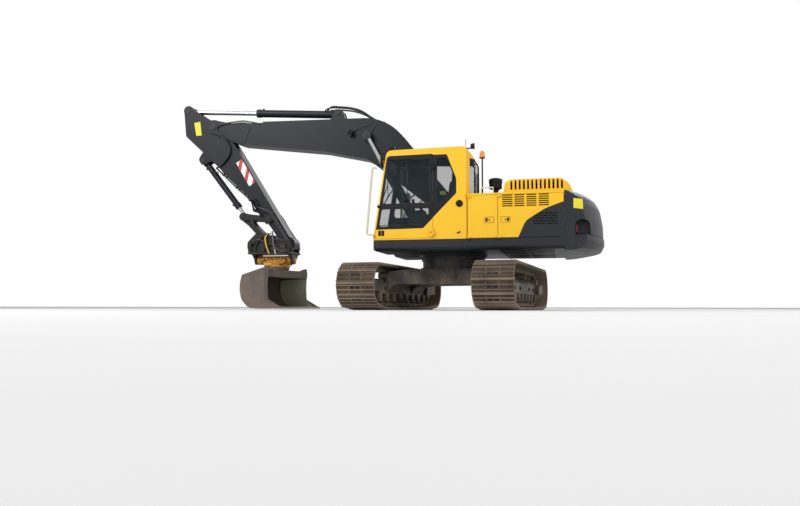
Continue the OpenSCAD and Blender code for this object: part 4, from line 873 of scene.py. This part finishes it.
@dataclass(frozen=True)
class BoomDress:
    """Hoses and pin caps of the boom.

    Attributes:
        loops: Distance from the middle, rise and port of each loop to the arm's cylinder.
        port_y: The cylinder's ports, from its middle.
        pins: Its cross pins.
        foot_y: Foot hoses, from the middle.
        hose_r: Radius of the large hoses.
    """

    loops: tuple[Point, ...] = ((96, 0, 3545), (122, 18, 3500), (-96, 0, 3545), (-122, 14, 3500))
    port_y: float = 62.0
    pins: tuple[Pin, ...] = ((2429, 923, 336, 52), (5700, 0, 218, 62), (3253, 1160, 111, 50))
    foot_y: tuple[float, ...] = (-160, -130, 130, 160)
    hose_r: float = 15.0

    def build(self) -> None:
        """Dress the boom and bridge its foot and the arm's cylinder with hoses."""
        loops = Piece("boom_loops", Paint.RUBBER, Body.STICK_JACK, boom)
        for y, lift, u in self.loops:
            port = math.copysign(self.port_y, y)
            loops.hose([(u, port, 2184 - 0.3 * u), (u - 40, y * 0.85, 2247 - 0.3 * u),
                        (3400, y, 1240 + lift), (3250, y, 1285 + lift), (3020, y * 1.1, 1340 + lift),
                        (2780, y * 1.2, 1352 + lift), (2540, y * 1.25, 1316),
                        (2400, y * 1.27, 1290)], self.hose_r)
        loops.bridge(Body.BOOM, boom(3420, 0, 1230), boom(2900, 0, 1340))
        caps = Piece("boom_pin_caps", Paint.PIN, Body.BOOM, boom)
        for pin in self.pins:
            caps.pin_caps(pin)
        side = Piece("boom_side_lines", Paint.RUBBER, Body.BOOM, boom)
        side.hose([(2450, 200, 1180), (2600, 204, 1080), (2700, 204, 980), (2770, 230, 900)], 9)
        side.hose([(2380, 203, 1230), (2390, 205, 1100), (2420, 206, 1030)], 11)
        foot = Piece("boom_foot_hoses", Paint.RUBBER, Body.UPPER)
        for y in self.foot_y:
            foot.hose([(380, y, 1130), (240, y, 1330), (150, y, 1700), (300, y, 1990),
                       (480, y, 2170)], self.hose_r)
        foot.bridge(Body.BOOM, house(200, 0, 1400), house(420, 0, 2120))


@dataclass(frozen=True)
class ArmDress:
    """Hoses, plates, valve and pin caps of the arm.

    Attributes:
        side: The arm's side faces, from the middle.
        plate_t: Thickness of the plates on its sides.
        band_t: Thickness of the red bands on them.
        plate: Corners of the striped plate.
        bands: Corners of its bands.
        blank: Corners of the blank plate at the arm's head.
        pins: Its cross pins, apart from the one at its tip.
        tip_pin: The pin at its tip.
        front_y: Front hoses, from the middle.
    """

    side: float = 150.0
    plate_t: float = 3.0
    band_t: float = 1.5
    plate: Outline = ((939, 20), (939, -124), (1524, -109), (1521, 46))
    bands: tuple[Outline, ...] = (
        ((1031, 22), (1151, 27), (1001, -122), (940, -124), (940, -72)),
        ((1315, 35), (1427, 41), (1272, -115), (1167, -118)),
        ((1440, -111), (1523, -108), (1522, -24)))
    blank: Outline = ((-360, 330), (-300, 205), (-30, 335), (-95, 440))
    pins: tuple[Pin, ...] = ((427, 611, 116, 44), (2358, 38, 206, 44), (-666, 298, 151, 52))
    tip_pin: Pin = (3020, 0, 211, 50)
    front_y: tuple[float, ...] = (-120, -84, 84, 120)

    def plates(self) -> None:
        """Striped plate and blank plate on both sides of the arm."""
        outer = self.side + self.plate_t
        for s, name in NAMED_SIDES:
            face = sorted((s * self.side, s * outer))
            Piece(f"stripe_plate_{name}", Paint.WHITE, Body.STICK, arm).slab(self.plate, *face)
            red = Piece(f"stripes_{name}", Paint.RED_PAINT, Body.STICK, arm)
            for band in self.bands:
                red.slab(band, *sorted((s * outer, s * (outer + self.band_t))))
            Piece(f"head_plate_{name}", Paint.DULL_YELLOW, Body.STICK, arm).slab(self.blank, *face)

    def hoses(self) -> None:
        """Hoses over the arm's head and along its front, with their clamps."""
        nose = Piece("nose_hoses", Paint.RUBBER, Body.BOOM, machine)
        for y, drop in ((172, 0), (196, 34), (-172, 0), (-196, 34)):
            near = [(4720, y, 400), (4950, y, 330 + drop), (5180, y * 1.12, 262 + drop)]
            far = [(60, y * 1.2, -40 - drop), (330, y * 1.15, -40 - drop),
                   (560, y * 1.06, -30 - drop), (715, y, 90 - drop), (780, y * 0.96, 300),
                   (770, y * 0.9, 440)]
            nose.hose(placed(boom, near) + placed(arm, far), 15)
        nose.bridge(Body.STICK, boom(5150, 0, 250), arm(250, 0, -40))
        front = Piece("arm_hoses", Paint.RUBBER, Body.STICK, arm)
        for y in self.front_y:
            front.hose([(770, y * 1.3, 440), (900, y, 415), (1200, y, 345), (1450, y, 282),
                        (1650, y, 225), (1850, y, 190), (2150, y, 180), (2400, y, 165)], 13)
        front.hose([(620, 60, 640), (760, 100, 560), (860, 120, 460)], 12)
        valve = Piece("arm_valve", Paint.BLACK, Body.STICK, arm)
        valve.box((1820, 146, 70), (1990, 205, 175))
        for p in (1840, 1880, 1920, 1960):
            valve.disc((p, 200, 120), (0, 1, 0.3), 15, 40, 8)
        for k in range(4):
            valve.hose([(1840 + 40 * k, 236, 132), (1870 + 40 * k, 262, 150 + 12 * k),
                        (1990 + 22 * k, 255, 185 + 10 * k), (2110 + 12 * k, 236, 150),
                        (2230, 216, 110 + 18 * k)], 11, 8)
        clamp = Piece("arm_clamps", Paint.PIN, Body.STICK, arm)
        for (p, q), s in product(((960, 402), (1360, 306), (1760, 205), (2180, 182)), SIDES):
            clamp.box((p - 14, s * 102 - 40, q - 26), (p + 14, s * 102 + 40, q + 18))

    def build(self) -> None:
        """Dress the arm."""
        self.plates()
        self.hoses()
        for name, pins in (("arm_pin_caps", self.pins), ("tip_pin_caps", (self.tip_pin,))):
            caps = Piece(name, Paint.PIN, Body.STICK, arm)
            for pin in pins:
                caps.pin_caps(pin)


@dataclass(frozen=True)
class ToolDress:
    """Hoses, valves and bolts round the tilting rotator, and marks on the bucket.

    Attributes:
        out: Hoses beside the arm's tip, from the middle.
        ports: Places of the valve block's ports along the coupler.
        loop_y: The coupler's outer hoses, from the middle.
        loops: Extra distance and path of each outer hose.
        bright: Name, finish, radius and path of the hoses that aren't black.
        bolts: Places of the bolts in the coupler's side plates.
        flange: Number of the housing's flange bolts, their circle's radius and their height.
        cheek_y: Half the bucket's width over its side plates.
        shell: Path of the weld along a side plate's edge.
        cheek: Outline of the worn green paint inside the left side plate, lightened as painted
            sunlight.
        cheek_in: That plate's inner face and the paint on it, from the middle.
    """

    out: float = 270.0
    ports: tuple[float, ...] = (190, 270, 350)
    loop_y: float = 230.0
    loops: tuple[tuple[float, Outline], ...] = (
        (0, ((690, -120), (650, 20), (560, 130), (450, 195), (340, 215))),
        (24, ((60, -170), (20, -60), (80, 50), (200, 100), (300, 60))),
        (0, ((510, -180), (480, -90), (400, -20), (300, 0), (200, -40), (170, -150))),
        (24, ((780, -150), (790, -40), (700, 60), (600, 90), (480, 40), (440, -80))))
    bright: tuple[tuple[str, Finish, float, tuple[Point, ...]], ...] = (
        ("yellow_hose", Paint.YELLOW, 13, (
            (430, 228, 190), (455, 262, 130), (445, 268, 40), (418, 268, -60), (388, 264, -140),
            (372, 240, -205))),
        ("grey_hose", Paint.HOSE_GREY, 17, (
            (306, 250, 262), (300, 252, 200), (288, 254, 80), (268, 256, -40), (250, 258, -110))),
        ("pale_hose_end", Paint.PALE, 13, ((250, 258, -108), (238, 258, -160), (226, 256, -215))))
    bolts: Outline = ((-60, -150), (80, -150), (500, -150), (640, -150), (780, -150), (180, 30),
                      (620, 150))
    flange: tuple[int, float, float] = (20, 226.0, -96.0)
    cheek_y: float = 646.0
    shell: Outline = ((-400, 690), (-440, 550), (-442, 400), (-392, 204), (-246, 64), (-50, 28),
                      (400, 28))
    cheek: Outline = ((430, 64), (254, 200), (238, 460), (238, 634), (160, 640), (-380, 622),
                      (-412, 540), (-422, 400), (-372, 218), (-230, 90), (-50, 64))
    cheek_in: tuple[float, float] = (643.0, 644.8)

    def bundle(self) -> None:
        """Hoses from the arm's front, down its sides and round the tip pin."""
        bundle = Piece("tool_hoses", Paint.RUBBER, Body.STICK, machine)
        for s, k in product(SIDES, (0, 1)):
            y, q = s * self.out, -46 - 33 * k
            side = [(1780, s * 118, 196), (1900, s * (158 + 10 * k), 178), (1990, s * 215, 130),
                    (2120, s * 258, 50 - 20 * k), (2300, y, q), (2640, y, q), (2960, y, q)]
            loop = [(-56 - 34 * k, y, -38), (-42 - 38 * k, y, -102 - 8 * k),
                    (24 - 30 * k, s * 268, -142 - 20 * k), (130, s * 262, -128 - 30 * k),
                    (230, s * 250, -60 - 30 * k), (330, s * 226, 20)]
            bundle.hose(placed(arm, side) + placed(tip, loop), 12, 8)
        bundle.bridge(Body.COUPLER, tip(-28, 0, 53), tip(28, 0, -53))

    def coupler(self) -> None:
        """Valve block, hoses and bolts on the coupler."""
        block = Piece("valve_block", Paint.PIN, Body.COUPLER, tip)
        block.box((150, -90, -168), (420, 90, -60))
        for x, s in product(self.ports, SIDES):
            block.disc((x, s * 90, -110), (0, s, 0), 22, 34, 10)
        loops = Piece("coupler_hoses", Paint.RUBBER, Body.COUPLER, tip)
        for (k, x), s in product(enumerate(self.ports), SIDES):
            loops.hose([(x, s * 120, -110), (x + 30, s * 145, -60), (x + 90, s * 140, 10 + 20 * k),
                        (x + 50, s * 100, 12 + 20 * k), (x + 10, s * 70, -32),
                        (x - 30, s * 50, -70)], 12, 8)
        for s, (further, path) in product(SIDES, self.loops):
            loops.hose([(x, s * (self.loop_y + further), z) for x, z in path], 13, 8)
        for name, finish, r, path in self.bright:
            Piece(name, finish, Body.COUPLER, tip).hose(path, r)
        bolts = Piece("coupler_bolts", Paint.PIN, Body.COUPLER, tip)
        for (x, z), s in product(self.bolts, SIDES):
            bolts.bolt((x, s * 200, z), (0, s, 0), 13, 9)

    def tilter(self) -> None:
        """Bolts, fittings and hoses on the tilting housing."""
        count, r, z = self.flange
        bolts = Piece("tilter_bolts", Paint.TILT, Body.TILTER, axis)
        for k in range(count):
            a = 2 * math.pi * k / count
            bolts.bolt((ROTOR_X + r * math.cos(a), r * math.sin(a), z), (0, 0, 1), 8, 8)
        fittings = Piece("tilter_fittings", Paint.PIN, Body.TILTER, axis)
        for x, s in product((60, 180, 360, 480), SIDES):
            fittings.disc((x, s * 80, 0), (0, s, 0.2), 16, 46, 8)
        glands = Piece("tilter_glands", Paint.TILT, Body.TILTER, axis)
        for x, s in product((110, 250, 410), SIDES):
            glands.disc((x, s * 108, -52), (0, s, -0.1), 26, 62, 12)
            glands.disc((x + 60, s * 84, 6), (0, s, 0.3), 20, 52, 10)
        hoses = Piece("tilter_hoses", Paint.RUBBER, Body.TILTER, axis)
        for s in SIDES:
            hoses.hose([(60, s * 120, 8), (20, s * 180, -40), (80, s * 222, -95),
                        (180, s * 205, -98)], 12, 8)
            hoses.hose([(480, s * 120, 8), (540, s * 185, -40), (500, s * 226, -98),
                        (420, s * 195, -98)], 12, 8)

    def bucket(self) -> None:
        """Weld beads, worn inner green paint lightened as painted sunlight, hitch bolts and pin caps
        on the tool.
        """
        welds = Piece("bucket_welds", Paint.STEEL, Body.TOOL, tool)
        for s in SIDES:
            welds.hose([(x, s * self.cheek_y, z) for x, z in self.shell], 8, 6, 3)
        # Green paint on the inner face, lightened as painted sunlight
        Piece("cheek_inner_paint_and_light", Paint.GREEN_PAINT_AND_LIGHT, Body.TOOL, tool).slab(self.cheek, *self.cheek_in)
        hitch = Piece("hitch_bolts", Paint.STEEL, Body.TOOL, tool)
        for x, s in product((-160, -60, 40), SIDES):
            hitch.bolt((x, s * 146, 770), (0, s, 0), 12, 5)
        caps = Piece("hitch_pin_caps", Paint.PIN, Body.TOOL, tool)
        for x, s in product((-196, 92), SIDES):
            caps.disc((x, s * 206, 757.5), (0, s, 0), 40, CAP_T, 20)

    def build(self) -> None:
        """Dress the tool."""
        self.bundle()
        self.coupler()
        self.tilter()
        self.bucket()


@dataclass(frozen=True)
class NodeDress:
    """Finishes of the CAD nodes.

    Attributes:
        room: Middle of the cab's room; faces that look at it get the lining.
        rods: Each rod node's eye, X and Z from the swing axis.
        eye_reach: Radius in metres of its part that is painted like a pin.
        dome: Foot of the warning lamp's dome.
        dome_reach: Half the dome's width in metres.
    """

    room: Point = (400, 880, 2000)
    rods: tuple[tuple[str, float, float], ...] = (
        ("boom_rods", 1684.8, 3461.7), ("arm_rod", 5680.6, 4229.1), ("bucket_rod", 4362.1, 1914.2))
    eye_reach: float = 0.125
    dome: Point = (-620, 400, 2900)
    dome_reach: float = 0.06

    def second(self, name: str, finish: Finish,
               chosen: Callable[[bpy.types.MeshPolygon], bool]) -> None:
        """Give the chosen faces of a node a second finish.

        Args:
            name: The node.
            finish: Finish of the chosen faces.
            chosen: Says whether a face is one of them.
        """
        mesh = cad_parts[name].data
        mesh.materials.append(finish.material())
        for face in mesh.polygons:
            if chosen(face):
                face.material_index = 1

    def build(self) -> None:
        """Give each CAD node its finish, and some faces a second one."""
        for name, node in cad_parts.items():
            node.data.materials.clear()
            node.data.materials.append(NODE_FINISH[name].material())
        room, dome = house(*self.room), house(*self.dome)
        for name in ("cab", "cab_trim"):
            self.second(name, Paint.LINING, lambda face: face.normal.dot(room - face.center) > 0)
        for name, x, z in self.rods:
            eye = house(x, 0, z)
            self.second(name, Paint.PIN, lambda face, eye=eye: math.hypot(
                face.center.x - eye.x, face.center.z - eye.z) < self.eye_reach)
        self.second("lamps", Paint.LAMP, lambda face: face.center.z > dome.z and max(
            abs(face.center.x - dome.x), abs(face.center.y - dome.y)) < self.dome_reach)


def main() -> None:
    """Build the scene part by part and report each piece."""
    logging.basicConfig(level=logging.INFO, format="%(message)s")
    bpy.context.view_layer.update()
    for part in (Studio(), NodeDress(), TrackDress(), UpperDress(), CabDress(), BoomDress(),
                 ArmDress(), ToolDress()):
        part.build()
        log.info("%s", type(part).__name__)
        for piece in Piece.waiting:
            piece.place()
            log.info("  %s on %s: %d faces", piece.name, piece.body.value, len(piece.faces))
        Piece.waiting.clear()


if __name__ == "__main__":
    main()
